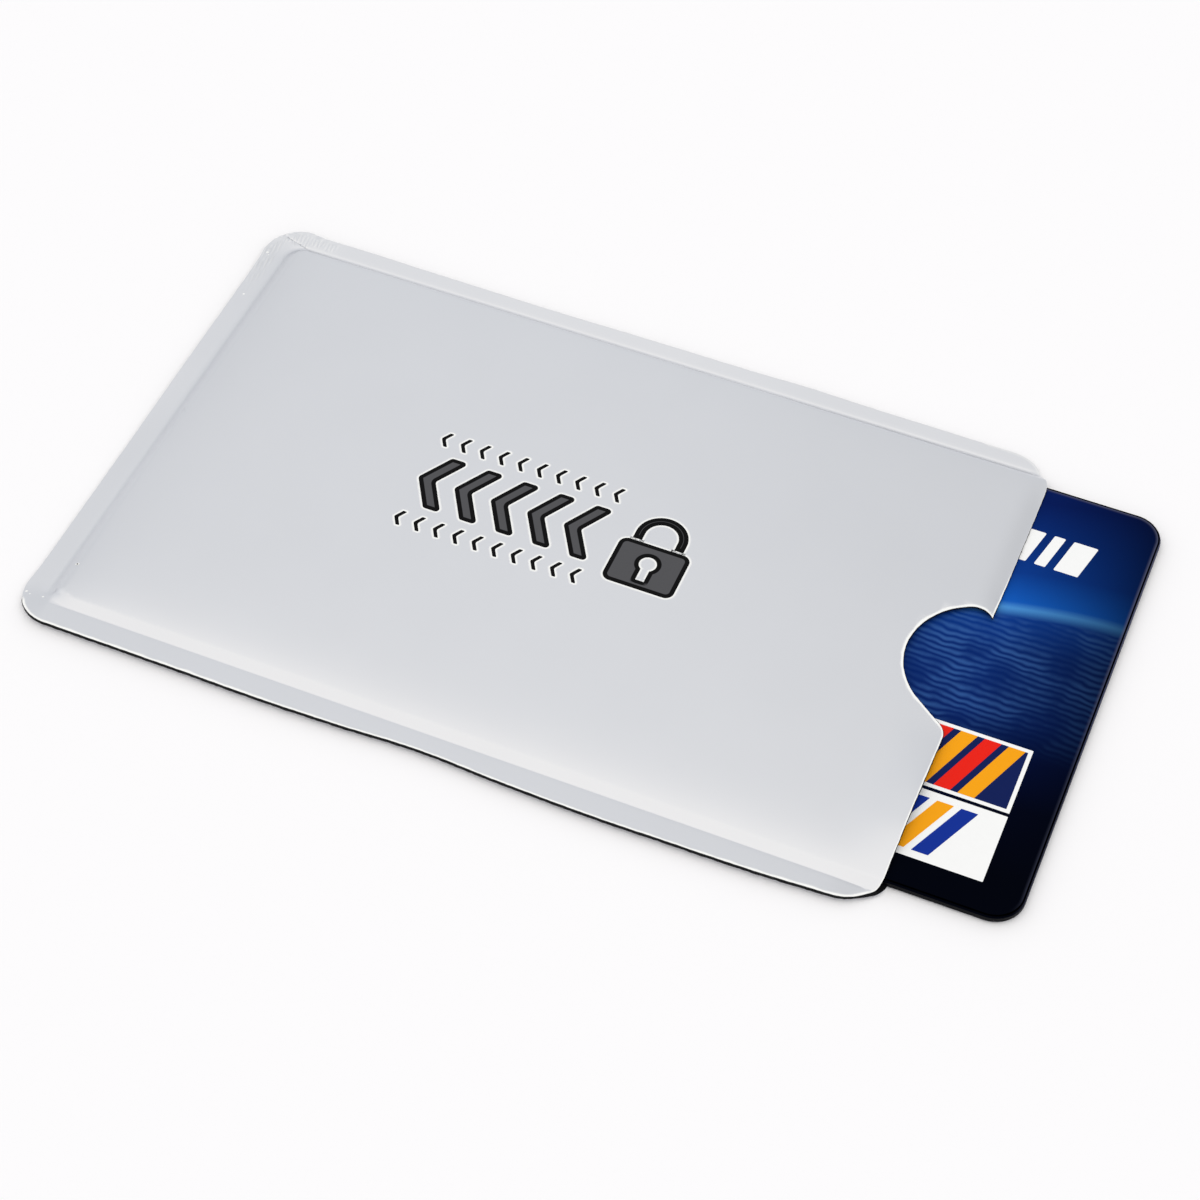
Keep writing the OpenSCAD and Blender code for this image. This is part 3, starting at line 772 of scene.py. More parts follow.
def matt_foil_laminate(look):
    """Matt polyester film over vacuum-bright aluminium: a satin silver that reflects broadly and whitens
    where a knife or a crease has stressed it, and where a highlight is painted along the cuts that face the
    near side."""
    made, tree = material("matt_foil_laminate")
    place = node(tree, "ShaderNodeTexCoord")
    whitening_and_highlight = node(tree, "ShaderNodeAttribute", attribute_name="whitened")
    cloud = node(tree, "ShaderNodeTexNoise",
                 {"Vector": place.outputs["Object"], "Scale": per_mm(9.0), "Detail": 3.0})
    tone = node(tree, "ShaderNodeMapRange", {"Value": cloud.outputs["Fac"], "To Min": 0.985, "To Max": 1.015})
    silver = node(tree, "ShaderNodeVectorMath", {0: look.silver, 1: tone.outputs["Result"]},
                  operation="MULTIPLY")
    pale = node(tree, "ShaderNodeMix", {"Factor": whitening_and_highlight.outputs["Fac"], "A": silver.outputs[0],
                                        "B": opaque(look.white)}, data_type="RGBA")
    metal = node(tree, "ShaderNodeMapRange", {"Value": whitening_and_highlight.outputs["Fac"], "To Min": 1.0, "To Max": 0.0})
    rough = node(tree, "ShaderNodeMapRange",
                 {"Value": whitening_and_highlight.outputs["Fac"], "To Min": look.roughness, "To Max": 0.7})
    satin = node(tree, "ShaderNodeTexNoise",
                 {"Vector": place.outputs["Object"], "Scale": per_mm(0.22), "Detail": 3.0})
    relief = node(tree, "ShaderNodeBump", {"Height": satin.outputs["Fac"], "Strength": 0.12,
                                           "Distance": 0.01 * MM})
    finish(tree, {"Base Color": pale.outputs[2], "Metallic": metal.outputs["Result"],
                  "Roughness": rough.outputs["Result"], "Normal": relief.outputs["Normal"]})
    return made


def rolled_foil(look):
    """Bare rolled aluminium, seen only in the thickness of a cut: bright and plain."""
    made, tree = material("rolled_aluminium_foil")
    tone = mottled(tree, look.foil, 1.0, 0.92, 0.3, (0.1, 1.0, 1.0))
    finish(tree, {"Base Color": tone, "Metallic": 1.0, "Roughness": 0.35})
    return made


def sealing_liner(look):
    """Heat-seal liner in a near-black that is painted shade: it stands in for the shadow in every cut edge,
    where it shows as the dark line.
    """
    made, tree = material("liner_black_as_painted_shade")
    tone = mottled(tree, look.liner, 1.0, 1.3, 1.5)
    finish(tree, {"Base Color": tone, "Roughness": 0.55, "IOR": 1.51, "Specular IOR Level": 0.05})
    return made


def screen_ink(print_look):
    """Thick matt screen ink: near-black outlines round a dark grey fill, with a fine tooth."""
    made, tree = material("matt_screen_ink")
    place = node(tree, "ShaderNodeTexCoord")
    edge = node(tree, "ShaderNodeAttribute", attribute_name="outline")
    tooth = node(tree, "ShaderNodeTexNoise", {"Vector": place.outputs["Object"], "Scale": per_mm(0.15)})
    shades = {"A": scaled_colour(print_look.fill, 0.94), "B": scaled_colour(print_look.fill, 1.06)}
    fill = node(tree, "ShaderNodeMix", {"Factor": tooth.outputs["Fac"], **shades}, data_type="RGBA")
    tone = node(tree, "ShaderNodeMix", {"Factor": edge.outputs["Fac"], "A": fill.outputs[2],
                                        "B": opaque(print_look.black)}, data_type="RGBA")
    relief = node(tree, "ShaderNodeBump", {"Height": tooth.outputs["Fac"], "Strength": 0.2,
                                           "Distance": 0.01 * MM})
    finish(tree, {"Base Color": tone.outputs[2], "Roughness": 0.6, "Specular IOR Level": 0.06,
                  "Normal": relief.outputs["Normal"]})
    return made


def flat_ink(name, rgb):
    """Offset ink under a clear overlay: an even colour with a very slight mottle."""
    made, tree = material(name)
    tone = mottled(tree, rgb, 0.97, 1.0, 0.6)
    finish(tree, {"Base Color": tone, "Roughness": 0.3, "Specular IOR Level": 0.08})
    return made


def printed_card(look):
    """Offset-printed PVC under a glossy overlay: flowing blue bands that fade to near black at
    the near end and the outer edges."""
    made, tree = material("printed_pvc_card")
    place = node(tree, "ShaderNodeTexCoord")
    shift = node(tree, "ShaderNodeVectorMath",
                 {0: place.outputs["Object"], 1: tuple(-c * MM for c in CARD_MIDDLE)}, operation="ADD")
    local = node(tree, "ShaderNodeVectorMath", {0: shift.outputs[0], 1: (1 / MM,) * 3}, operation="MULTIPLY")
    axes = node(tree, "ShaderNodeSeparateXYZ", {"Vector": local.outputs[0]})
    # A slow wave bends the bands along the card
    swing = node(tree, "ShaderNodeMath", {0: axes.outputs["X"], 1: 0.11}, operation="MULTIPLY")
    wave = node(tree, "ShaderNodeMath", {0: swing.outputs[0]}, operation="SINE")
    bent = node(tree, "ShaderNodeMath", {0: wave.outputs[0], 1: 2.2, 2: axes.outputs["Y"]},
                operation="MULTIPLY_ADD")
    half_w = (CARD_HIGH.y - CARD_LOW.y) / 2
    up = node(tree, "ShaderNodeMapRange", {"Value": bent.outputs[0], "From Min": -half_w, "From Max": half_w})
    ramp = node(tree, "ShaderNodeValToRGB", {"Fac": up.outputs["Result"]})
    stops = [(0.05, look.night), (0.20, between(look.night, look.navy, 0.10)),
             (0.31, between(look.night, look.navy, 0.50)), (0.40, between(look.navy, look.blue, 0.10)),
             (0.56, between(look.navy, look.blue, 0.22)), (0.645, between(look.navy, look.blue, 0.60)),
             (0.667, look.glow), (0.684, look.sky), (0.76, between(look.navy, look.blue, 0.60)),
             (0.95, look.navy)]
    bands = ramp.color_ramp
    while len(bands.elements) < len(stops):
        bands.elements.new(0.5)
    for stop, (at, rgb) in zip(bands.elements, stops):
        stop.position = at
        stop.color = opaque(rgb)
    # Fine woven threads of light below the glow, about 0.8 mm apart, in brighter and dimmer patches
    threads = node(tree, "ShaderNodeTexWave",
                   {"Vector": local.outputs[0], "Scale": 0.40, "Distortion": 8.0, "Detail": 2.0,
                    "Detail Scale": 0.5, "Detail Roughness": 0.6}, bands_direction="Y")
    patches = node(tree, "ShaderNodeTexNoise", {"Vector": local.outputs[0], "Scale": 0.2, "Detail": 3.0})
    bright = node(tree, "ShaderNodeMapRange",
                  {"Value": patches.outputs["Fac"], "From Min": 0.35, "From Max": 0.65, "To Min": 0.15},
                  interpolation_type="SMOOTHSTEP")
    thin = node(tree, "ShaderNodeMath", {0: threads.outputs["Fac"], 1: bright.outputs["Result"]},
                operation="MULTIPLY")
    below = node(tree, "ShaderNodeMapRange", {"Value": bent.outputs[0], "From Min": -11.0, "From Max": -2.0,
                                              "To Min": 0.0, "To Max": 0.5}, interpolation_type="SMOOTHSTEP")
    above = node(tree, "ShaderNodeMapRange", {"Value": bent.outputs[0], "From Min": 7.4, "From Max": 8.6,
                                              "To Min": 1.0, "To Max": 0.0})
    placed = node(tree, "ShaderNodeMath", {0: below.outputs["Result"], 1: above.outputs["Result"]},
                  operation="MULTIPLY")
    lit = node(tree, "ShaderNodeMath", {0: thin.outputs[0], 1: placed.outputs[0]}, operation="MULTIPLY")
    streaked = node(tree, "ShaderNodeMix", {"Factor": lit.outputs[0], "A": ramp.outputs["Color"],
                                            "B": opaque(look.thread)}, data_type="RGBA")
    half_l = (CARD_HIGH.x - CARD_LOW.x) / 2
    dusk = node(tree, "ShaderNodeMapRange",
                {"Value": axes.outputs["X"], "From Min": half_l - 12, "From Max": half_l + 1,
                 "To Min": 0.0, "To Max": 0.85})
    shaded = node(tree, "ShaderNodeMix", {"Factor": dusk.outputs["Result"], "A": streaked.outputs[2],
                                          "B": opaque(look.night)}, data_type="RGBA")
    # A painted highlight lightens the overlay along its far and outer edges, where the light falls
    rim_highlight_share = node(tree, "ShaderNodeAttribute", attribute_name="painted_rim_highlight")
    painted_rim_highlight = node(tree, "ShaderNodeMix", {"Factor": rim_highlight_share.outputs["Fac"], "A": shaded.outputs[2],
                                        "B": opaque(look.rim)}, data_type="RGBA")
    finish(tree, {"Base Color": painted_rim_highlight.outputs[2], "Roughness": 0.25, "IOR": 1.5, "Specular IOR Level": 0.01})
    return made


def plain_plastic(name, rgb, roughness):
    """Calendered PVC sheet: an even tone with a faint matt texture."""
    made, tree = material(name)
    tone = mottled(tree, rgb, 0.95, 1.0, 0.25)
    finish(tree, {"Base Color": tone, "Roughness": roughness, "IOR": 1.53, "Specular IOR Level": 0.05})
    return made


def rolled_metal(name, rgb, roughness, streak):
    """Rolled or plated metal: streaks run along the strip it was made from."""
    made, tree = material(name)
    tone = mottled(tree, rgb, 0.9, 1.0, streak, (0.08, 1.0, 1.0))
    finish(tree, {"Base Color": tone, "Metallic": 1.0, "Roughness": roughness})
    return made


def dress_cad(name, finish_material):
    """Gives a CAD node that stays in view its material."""
    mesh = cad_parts[name].data
    mesh.materials.clear()
    mesh.materials.append(finish_material)


class SLEEVE_OT_webs(bpy.types.Operator):
    """Form both webs of the pouch and their seals from one set of plan points"""
    bl_idname = "card_sleeve.webs"
    bl_label = "Form webs and seals"

    def execute(self, context):
        form = SleeveForm(in_mm(context.scene.sleeve_shape))
        look = in_mm(context.scene.sleeve_film)
        outline = ragged(sleeve_outline(form.s), 0.05)
        plan, triangles = sleeve_plan(form, outline)
        middle = plan[triangles].mean(axis=1)
        q = form.foot_distance(*middle.T)
        pocket = q > 0
        at_end = ~pocket & (middle[:, 0] < form.corner(middle[:, 1])[1])
        at_side = ~pocket & ~at_end
        everywhere = np.ones(len(triangles), bool)
        to_cut = distance_to(outline, *plan.T)
        whitening_and_highlight = {"whitened": self.whitened(plan, to_cut, form)}
        film = matt_foil_laminate(look)
        foil = rolled_foil(look)
        # The liner's near-black is painted shade in every cut edge and seal wall
        liner = sealing_liner(look)
        foil_up = WEB_T - FILM_T
        liner_t = WEB_T - FOIL_TOP
        # Melt stands out of the cut on the near side and round the mouth, carrying the liner's painted-shade
        # black past the cut
        near = ease(outline[:, 1], FOOT_LOW.y, -1.0)
        round_mouth = smooth((outline[:, 0] - MOUTH_X + 9.0) / 1.0) * (np.abs(outline[:, 1]) < 26)
        melted = np.maximum(near, round_mouth)
        melted = form.s.melt_w * melted * (0.35 + 0.65 * waver(outline, (0.7, 1.3, 2.9)))
        wide = squeezed(plan, to_cut, outline, melted)
        back = self.stepped_out(plan, form.s)
        wide_back = self.stepped_out(wide, form.s)
        seal = (form.back(wide_back, FOIL_TOP), form.front(wide, liner_t), "seal", liner, None)
        layers = [
            ("front_film", everywhere, form.front(plan, foil_up), form.front(plan, WEB_T),
             "outer_film", film, whitening_and_highlight),
            ("front_foil", everywhere, form.front(plan, liner_t), form.front(plan, foil_up),
             "foil", foil, None),
            ("front_liner", pocket, form.front(wide, 0.0), form.front(wide, liner_t),
             "liner", liner, None),
            ("back_liner", pocket, form.back(wide_back, FOIL_TOP), form.back(wide_back, WEB_T),
             "liner", liner, None),
            ("back_foil", everywhere, form.back(back, FILM_T), form.back(back, FOIL_TOP),
             "foil", foil, None),
            ("back_film", everywhere, form.back(back, 0.0), form.back(back, FILM_T),
             "outer_film", film, None),
            ("end_seal", at_end, *seal),
            ("far_seal", at_side & (middle[:, 1] > 0), *seal),
            ("near_seal", at_side & (middle[:, 1] < 0), *seal),
        ]
        for replaced, area, low, high, slot, finish_material, marks in layers:
            piece = shell("formed_" + replaced, triangles[area], low, high, marks)
            dress(piece, "sleeve", finish_material, [replaced])
        self.scuffs(form, film, liner)
        return {"FINISHED"}

    def scuffs(self, form, film, liner):
        """Small abraded spots by the seals, and one pinhole with a pale ring, drawn as a disc in the liner's
        black, which is painted shade for the hole.
        """
        flecks = Gathered()
        for x, y, size in SCUFFS:
            outline = np.array(arc_points((x, y), size, 0, 360, size / 4))
            outline[:, 0] += 0.4 * (outline[:, 1] - y)
            self.spot(flecks, form, outline, 0.012)
        dress(flecks.piece("film_scuffs", "whitened"), "sleeve", film)
        hole = Gathered()
        self.spot(hole, form, np.array(arc_points(SCUFFS[-1][:2], 0.09, 0, 360, 0.03)), 0.016)
        dress(hole.piece("film_pinhole", "ink"), "sleeve", liner)

    def spot(self, gathered, form, outline, up):
        plan, triangles = triangulate(outline)
        low, high = form.front(plan, WEB_T - SUNK), form.front(plan, WEB_T + up)
        gathered.add(triangles, low, high, np.ones(len(plan)))

    def whitened(self, plan, to_cut, form):
        """Share of whitening, partly stress whitening and partly a painted highlight on the cuts that face
        the near side: widest along the near cut and in the notch, faint on the far side.
        """
        s = form.s
        x, y = plan.T
        near = smooth((-y - HALF_W + 2.2) / 0.4) * smooth((x - FILM_LOW.x - 0.3) / 0.8)
        mouth = smooth((x - MOUTH_X + 8.5) / 1.0) * (1 - near)
        near_w = 0.62 + 0.25 * smooth((-x - 8.0) / 14.0) + 0.25 * smooth((x - 26.0) / 10.0)
        notch_w = (0.50 + 0.30 * smooth(y / 3.0)) * smooth((MOUTH_X - 0.4 - x) / 0.8)
        far_off = 1 - 0.9 * smooth((y - 10.0) / 5.0)
        torn = 1 + 0.14 * (np.sin(2.3 * x + 1.1 * y) + np.sin(3.9 * y - 1.7 * x) * np.sin(0.8 * x + 0.6 * y))
        width = s.rim_w * torn * (near * near_w + mouth * (0.45 * far_off + notch_w)) + 0.04
        # The weight is mostly painted highlight: full along the near cut, the mouth and the notch, which face
        # the near side, and only a faint stress whitening elsewhere
        weight = 0.2 + 0.8 * np.maximum(near, mouth * far_off)
        rim = weight * (1 - smooth((to_cut - 0.4 * width) / (0.6 * width)))
        # The pressed ridges are stressed a little white as well
        return np.maximum(rim, 0.22 * form.crimp(x, y) / (2 * s.crimp_h))

    def stepped_out(self, plan, s):
        """Plan points of the back web, which stands past the front at the near end of the mouth."""
        x, y = plan.T
        out = ease(x, 42.5, 3.5) * ease(y, -23.5, -3.0) * ease(y, -30.4, 1.8)
        return np.column_stack((x + s.corner_gap * out, y))


def chevron(x, y, h, t):
    """Corner points of a chevron that points to the closed end, its tip at x."""
    run = h * CHEVRON_RUN
    return [(x, y), (x + run, y - h / 2), (x + run + t, y - h / 2), (x + t, y),
            (x + run + t, y + h / 2), (x + run, y + h / 2)]


def padlock(x, y, w):
    """Outlines of a padlock's body with its keyhole, and of its shackle."""
    body_h, shackle_r, shackle_t = 0.78 * w, 0.36 * w, 0.13 * w
    leg_h, hole_r = 0.16 * w, 0.12 * w
    body = rounded([(x - w / 2, y - body_h), (x + w / 2, y - body_h), (x + w / 2, y), (x - w / 2, y)],
                   0.12 * w, PRINT_STEP)
    hole_y = y - body_h / 2 + hole_r / 2
    neck = math.degrees(math.asin(0.5))
    foot_y = y - body_h / 2 - 2 * hole_r
    neck_y = hole_y - hole_r * math.cos(math.radians(neck))
    left, right = x - hole_r / 2, x + hole_r / 2
    hole = arc_points((x, hole_y), hole_r, neck - 90, 270 - neck, PRINT_STEP)
    hole += polyline([(left, neck_y), (left, foot_y), (right, foot_y), (right, neck_y)], PRINT_STEP)
    inner_r = shackle_r - shackle_t
    # The legs stop just short of the body, so that a pale line parts them from it
    top, leg_foot = y + leg_h, y + 0.25

    def leg(first, last):
        """Outline of a leg from one side of it, round its foot, to the other."""
        spots = [(x + first, top), (x + first, leg_foot), (x + last, leg_foot), (x + last, top)]
        return polyline(spots, PRINT_STEP)

    arch = arc_points((x, top), shackle_r, 0, 180, PRINT_STEP) + leg(-shackle_r, -inner_r)
    arch += arc_points((x, top), inner_r, 180, 0, PRINT_STEP) + leg(inner_r, shackle_r)
    return (body, [np.array(hole)]), (np.array(arch), [])


def filled(outline, holes, levels, kept=()):
    """Plan, triangles and depths of an area with rings of points at given depths inside its edge,
    and with unbroken lines at the kept depths."""
    rings = [outline, *holes]
    points, kept_rings = [], []
    for depth in (*levels, *kept):
        for i, ring in enumerate(rings):
            moved = offset_outline(ring, -depth if i == 0 else depth * hole_sign(ring))
            if depth in kept:
                kept_rings.append(moved)
            else:
                points.append(moved)
    low, high = outline.min(0), outline.max(0)
    points.append(grid(np.arange(low[0], high[0], 0.4), np.arange(low[1], high[1], 0.4)))
    points = np.concatenate(points)
    depth = np.min([distance_to(r, *points.T) for r in rings], axis=0)
    keep = inside(outline, *points.T) & (depth > 0.6 * levels[0])
    for hole in holes:
        keep &= ~inside(hole, *points.T)
    loops = [[*line, line[0]] for line in kept_rings]
    plan, triangles = triangulate(outline, holes=holes, lines=loops, points=points[keep])
    return plan, triangles, np.min([distance_to(r, *plan.T) for r in rings], axis=0)


def hole_sign(ring):
    """1 where moving a ring along its normals widens it, -1 where it narrows it."""
    x, y = ring[:, 0], ring[:, 1]
    return math.copysign(1.0, float((x * np.roll(y, -1) - np.roll(x, -1) * y).sum()))


class SLEEVE_OT_print(bpy.types.Operator):
    """Print chevrons and a padlock on the front web"""
    bl_idname = "card_sleeve.print"
    bl_label = "Print the front"

    def execute(self, context):
        form = SleeveForm(in_mm(context.scene.sleeve_shape))
        p = in_mm(context.scene.sleeve_print)
        bold_pitch = p.chevron_t * 1.25 + p.chevron_h * 0.22
        block_w = (p.bold_count - 1) * bold_pitch + p.chevron_h * CHEVRON_RUN + p.chevron_t
        fine_pitch = (block_w - p.fine_h * CHEVRON_RUN - p.fine_t) / (p.fine_count - 1)
        left = PRINT_LOW.x
        middle = (PRINT_LOW.y + PRINT_HIGH.y) / 2
        fine_y = p.chevron_h / 2 + p.fine_h * 1.1
        shapes = []
        for i in range(p.bold_count):
            corners_of = chevron(left + i * bold_pitch, middle, p.chevron_h, p.chevron_t)
            shapes.append((rounded(corners_of, (0.5, 0.4, 0.4, 0.4, 0.4, 0.4), PRINT_STEP), [], False))
        for side in (-1, 1):
            for i in range(p.fine_count):
                corners_of = chevron(left + i * fine_pitch, middle + side * fine_y, p.fine_h, p.fine_t)
                shapes.append((rounded(corners_of, (0.18, 0.08, 0.08, 0.3, 0.08, 0.08), 0.08), [], True))
        lock_x = left + block_w + 0.75 * p.padlock_w
        for outline, holes in padlock(lock_x, middle + 0.12 * p.padlock_w, p.padlock_w):
            shapes.append((outline, holes, False))
        ink, halo, halo_t, blend_w = Gathered(), Gathered(), 0.0015, 0.05
        for outline, holes, fine in shapes:
            kept = () if fine else (p.outline_w, p.outline_w + blend_w)
            plan, triangles, depth = filled(outline, holes, (0.05, 0.12), kept)
            height = p.ink_t * (0.25 + 0.75 * smooth(depth / 0.1))
            dark = np.ones(len(plan)) if fine else 1 - ease(depth, p.outline_w, blend_w)
            ink.add(triangles, form.front(plan, WEB_T - SUNK), form.front(plan, WEB_T + height), dark)
            wide = offset_outline(outline, p.halo_w)
            narrow = [offset_outline(h, -p.halo_w * hole_sign(h)) for h in holes]
            plan, triangles, depth = filled(wide, narrow, (0.08, 0.17, p.halo_w))
            white = smooth(depth / (0.8 * p.halo_w))
            halo.add(triangles, form.front(plan, WEB_T - SUNK), form.front(plan, WEB_T + halo_t), white)
        piece = ink.piece("raised_front_print", "outline")
        dress(piece, "sleeve", screen_ink(p), ["front_print"])
        piece = halo.piece("print_underlay", "whitened")
        dress(piece, "sleeve", bpy.data.materials["matt_foil_laminate"])
        return {"FINISHED"}


class Gathered:
    """Several thin closed shapes gathered into one piece."""

    def __init__(self):
        self.triangles, self.low, self.high, self.marks = [], [], [], []
        self.count = 0

    def add(self, triangles, low, high, mark):
        self.triangles.append(triangles + self.count)
        self.low.append(low)
        self.high.append(high)
        self.marks.append(mark)
        self.count += len(low)

    def piece(self, name, mark_name):
        return shell(name, np.concatenate(self.triangles), np.concatenate(self.low),
                     np.concatenate(self.high), {mark_name: np.concatenate(self.marks)})


def card_outline(inset, corner_r, step=0.25):
    """Rounded outline of the card, drawn in by an inset."""
    return rounded(rectangle(CARD_LOW, CARD_HIGH, inset), corner_r - inset, step)


class SLEEVE_OT_card(bpy.types.Operator):
    """Round the edges of the card's printed face and finish all of its sheets"""
    bl_idname = "card_sleeve.card"
    bl_label = "Finish the card"

    def execute(self, context):
        look = in_mm(context.scene.sleeve_card)
        gap, window_r = 0.05, 1.65
        window = rounded(rectangle(MODULE_LOW, MODULE_HIGH, -gap), window_r, 0.2)
        outer = card_outline(0.0, look.corner_r)
        rings = [offset_outline(outer, -d) for d in (0.12, 0.24, 0.36, 0.48, 0.62)]
        plan, triangles = triangulate(outer, holes=[window], points=np.concatenate(rings))
        to_edge = distance_to(outer, *plan.T)
        on_edge = to_edge < 1e-4
        # Painted highlight on the far and outer edges, where the light falls, not on the near one
        painted_rim_highlight = (1 - ease(to_edge, 0.22, 0.4)) * (0.3 + 0.7 * ease(plan[:, 1], -16.0, 36.0))
        painted_rim_highlight *= ease(plan[:, 1], CARD_LOW.y + 1.0, 3.0)
        printed = printed_card(look)

        def level(z):
            """Plan points at a height, drawn in where the face is rounded."""
            rise = max(0.0, z - (CARD_HIGH.z - look.edge_r))
            inset = look.edge_r - math.sqrt(look.edge_r ** 2 - rise ** 2)
            moved = plan.copy()
            moved[on_edge] = self.drawn_in(plan[on_edge], inset, look.corner_r)
            return np.column_stack((moved, np.full(len(plan), z)))

        for name, replaced, low, high, slot in (
                ("rounded_card_overlay", "card_front_overlay", CARD_LOW.z, CARD_HIGH.z, "card_front"),
                ("rounded_card_sheet", "card_front_sheet", SHEET_LOW.z, SHEET_HIGH.z, "card_front")):
            heights = [low + (high - low) * k / 5 for k in range(6)]
            piece = shell(name, triangles, level(low), level(high), {"painted_rim_highlight": painted_rim_highlight},
                          walls=[level(z) for z in heights[1:-1]])
            dress(piece, "card", printed, [replaced])
        dress_cad("card_core", plain_plastic("calendered_pvc_core", linear("#0b0b0f"), 0.45))
        dress_cad("card_back_sheet", plain_plastic("calendered_pvc_back", linear("#07080e"), 0.4))
        dress_cad("card_back_overlay", plain_plastic("clear_pvc_back_overlay", linear("#0a0c15"), 0.3))
        dress_cad("magnetic_stripe", plain_plastic("magnetic_oxide_stripe", linear("#191412"), 0.35))
        dress_cad("signature_panel", plain_plastic("matt_signature_panel", linear("#e9e8e2"), 0.8))
        dress_cad("card_antenna", rolled_metal("etched_copper", linear("#c67c4e"), 0.4, 0.1))
        dress_cad("chip_contacts", rolled_metal("gold_plated_nickel", linear("#d9b25a"), 0.28, 0.2))
        dress_cad("chip_tape", plain_plastic("glass_epoxy_tape", linear("#5a6838"), 0.5))
        dress_cad("chip_resin", plain_plastic("moulded_black_epoxy", linear("#161618"), 0.35))
        dress_cad("chip_die", rolled_metal("sawn_silicon", linear("#5c616b"), 0.2, 0.15))
        return {"FINISHED"}

    def drawn_in(self, points, inset, corner_r):
        """Edge points of the card moved in square to its outline."""
        low = np.array((CARD_LOW.x + corner_r, CARD_LOW.y + corner_r))
        high = np.array((CARD_HIGH.x - corner_r, CARD_HIGH.y - corner_r))
        core = np.clip(points, low, high)
        out = points - core
        return points - out / np.linalg.norm(out, axis=1)[:, None] * inset


def bar(x, y, w, h, lean):
    """Corner points of a leaning bar."""
    return [(x, y), (x + w, y), (x + w + lean, y + h), (x + lean, y + h)]


class SLEEVE_OT_card_art(bpy.types.Operator):
    """Print white blocks and two framed fields of stripes on the card"""
    bl_idname = "card_sleeve.card_art"
    bl_label = "Print the card"

    def execute(self, context):
        look = in_mm(context.scene.sleeve_card)
        top = CARD_HIGH.z
        inks = {"white": look.white, "red": look.red, "amber": look.amber, "royal": look.royal,
                "navy": look.navy}
        inks = {key: flat_ink(key + "_offset_ink", rgb) for key, rgb in inks.items()}
        ink_t = 0.006
        # Blocks of alternating width along the far edge, the last ones out of the mouth
        blocks = Gathered()
        block_y, block_h, block_lean, block_gap, block_r = 15.9, 4.5, 1.0, 0.9, 0.12
        x = 52.6
        for w in (2.6, 1.2, 3.4, 1.2, 2.0, 3.4, 1.2, 2.6, 1.2):
            x -= w
            self.lay(blocks, bar(x, block_y, w, block_h, block_lean), top, top + ink_t, block_r)
            x -= block_gap
        piece = blocks.piece("card_white_blocks", "ink")
        dress(piece, "card", inks["white"])
        frame_right, frame_w, frame_h, frame_r = 54.9, 13.4, 8.1, 0.05
        border, lean, stripe_w, gap_w, stripe_r = 0.42, 3.0, 1.7, 0.75, 0.03
        # Free width before the first stripe of a field and after its last one
        lead_in, lead_out = 0.25, 0.2
        for name, y, ground, stripes in (
                ("upper", -15.3, "navy", ("red", "amber")), ("lower", -23.8, "white", ("royal", "amber"))):
            left = frame_right - frame_w
            plate = Gathered()
            self.lay(plate, bar(left, y, frame_w, frame_h, 0.0), top, top + ink_t, frame_r)
            dress(plate.piece("card_frame_" + name, "ink"), "card", inks["white"])
            if ground != "white":
                field = Gathered()
                inner_w, inner_h = frame_w - 2 * border, frame_h - 2 * border
                self.lay(field, bar(left + border, y + border, inner_w, inner_h, 0.0),
                         top + ink_t, top + 2 * ink_t, stripe_r)
                dress(field.piece("card_field_" + name, "ink"), "card", inks[ground])
            margin = border if ground != "white" else 2 * border
            for k, ink in enumerate(stripes):
                laid = Gathered()
                x = left + margin + lead_in + k * (stripe_w + gap_w)
                while x + stripe_w + lean <= frame_right - margin - lead_out:
                    self.lay(laid, bar(x, y + margin, stripe_w, frame_h - 2 * margin, lean),
                             top + 2 * ink_t, top + 3 * ink_t, stripe_r)
                    x += 2 * (stripe_w + gap_w)
                dress(laid.piece(f"card_stripes_{name}_{ink}", "ink"), "card", inks[ink])
        return {"FINISHED"}

    def lay(self, gathered, corner_points, low, high, r):
        """Adds one thin closed shape."""
        outline = rounded(corner_points, r, 0.1)
        plan, triangles = triangulate(outline)
        flat = np.ones(len(plan))
        bottom, top = (np.column_stack((plan, flat * z)) for z in (low, high))
        gathered.add(triangles, bottom, top, flat)


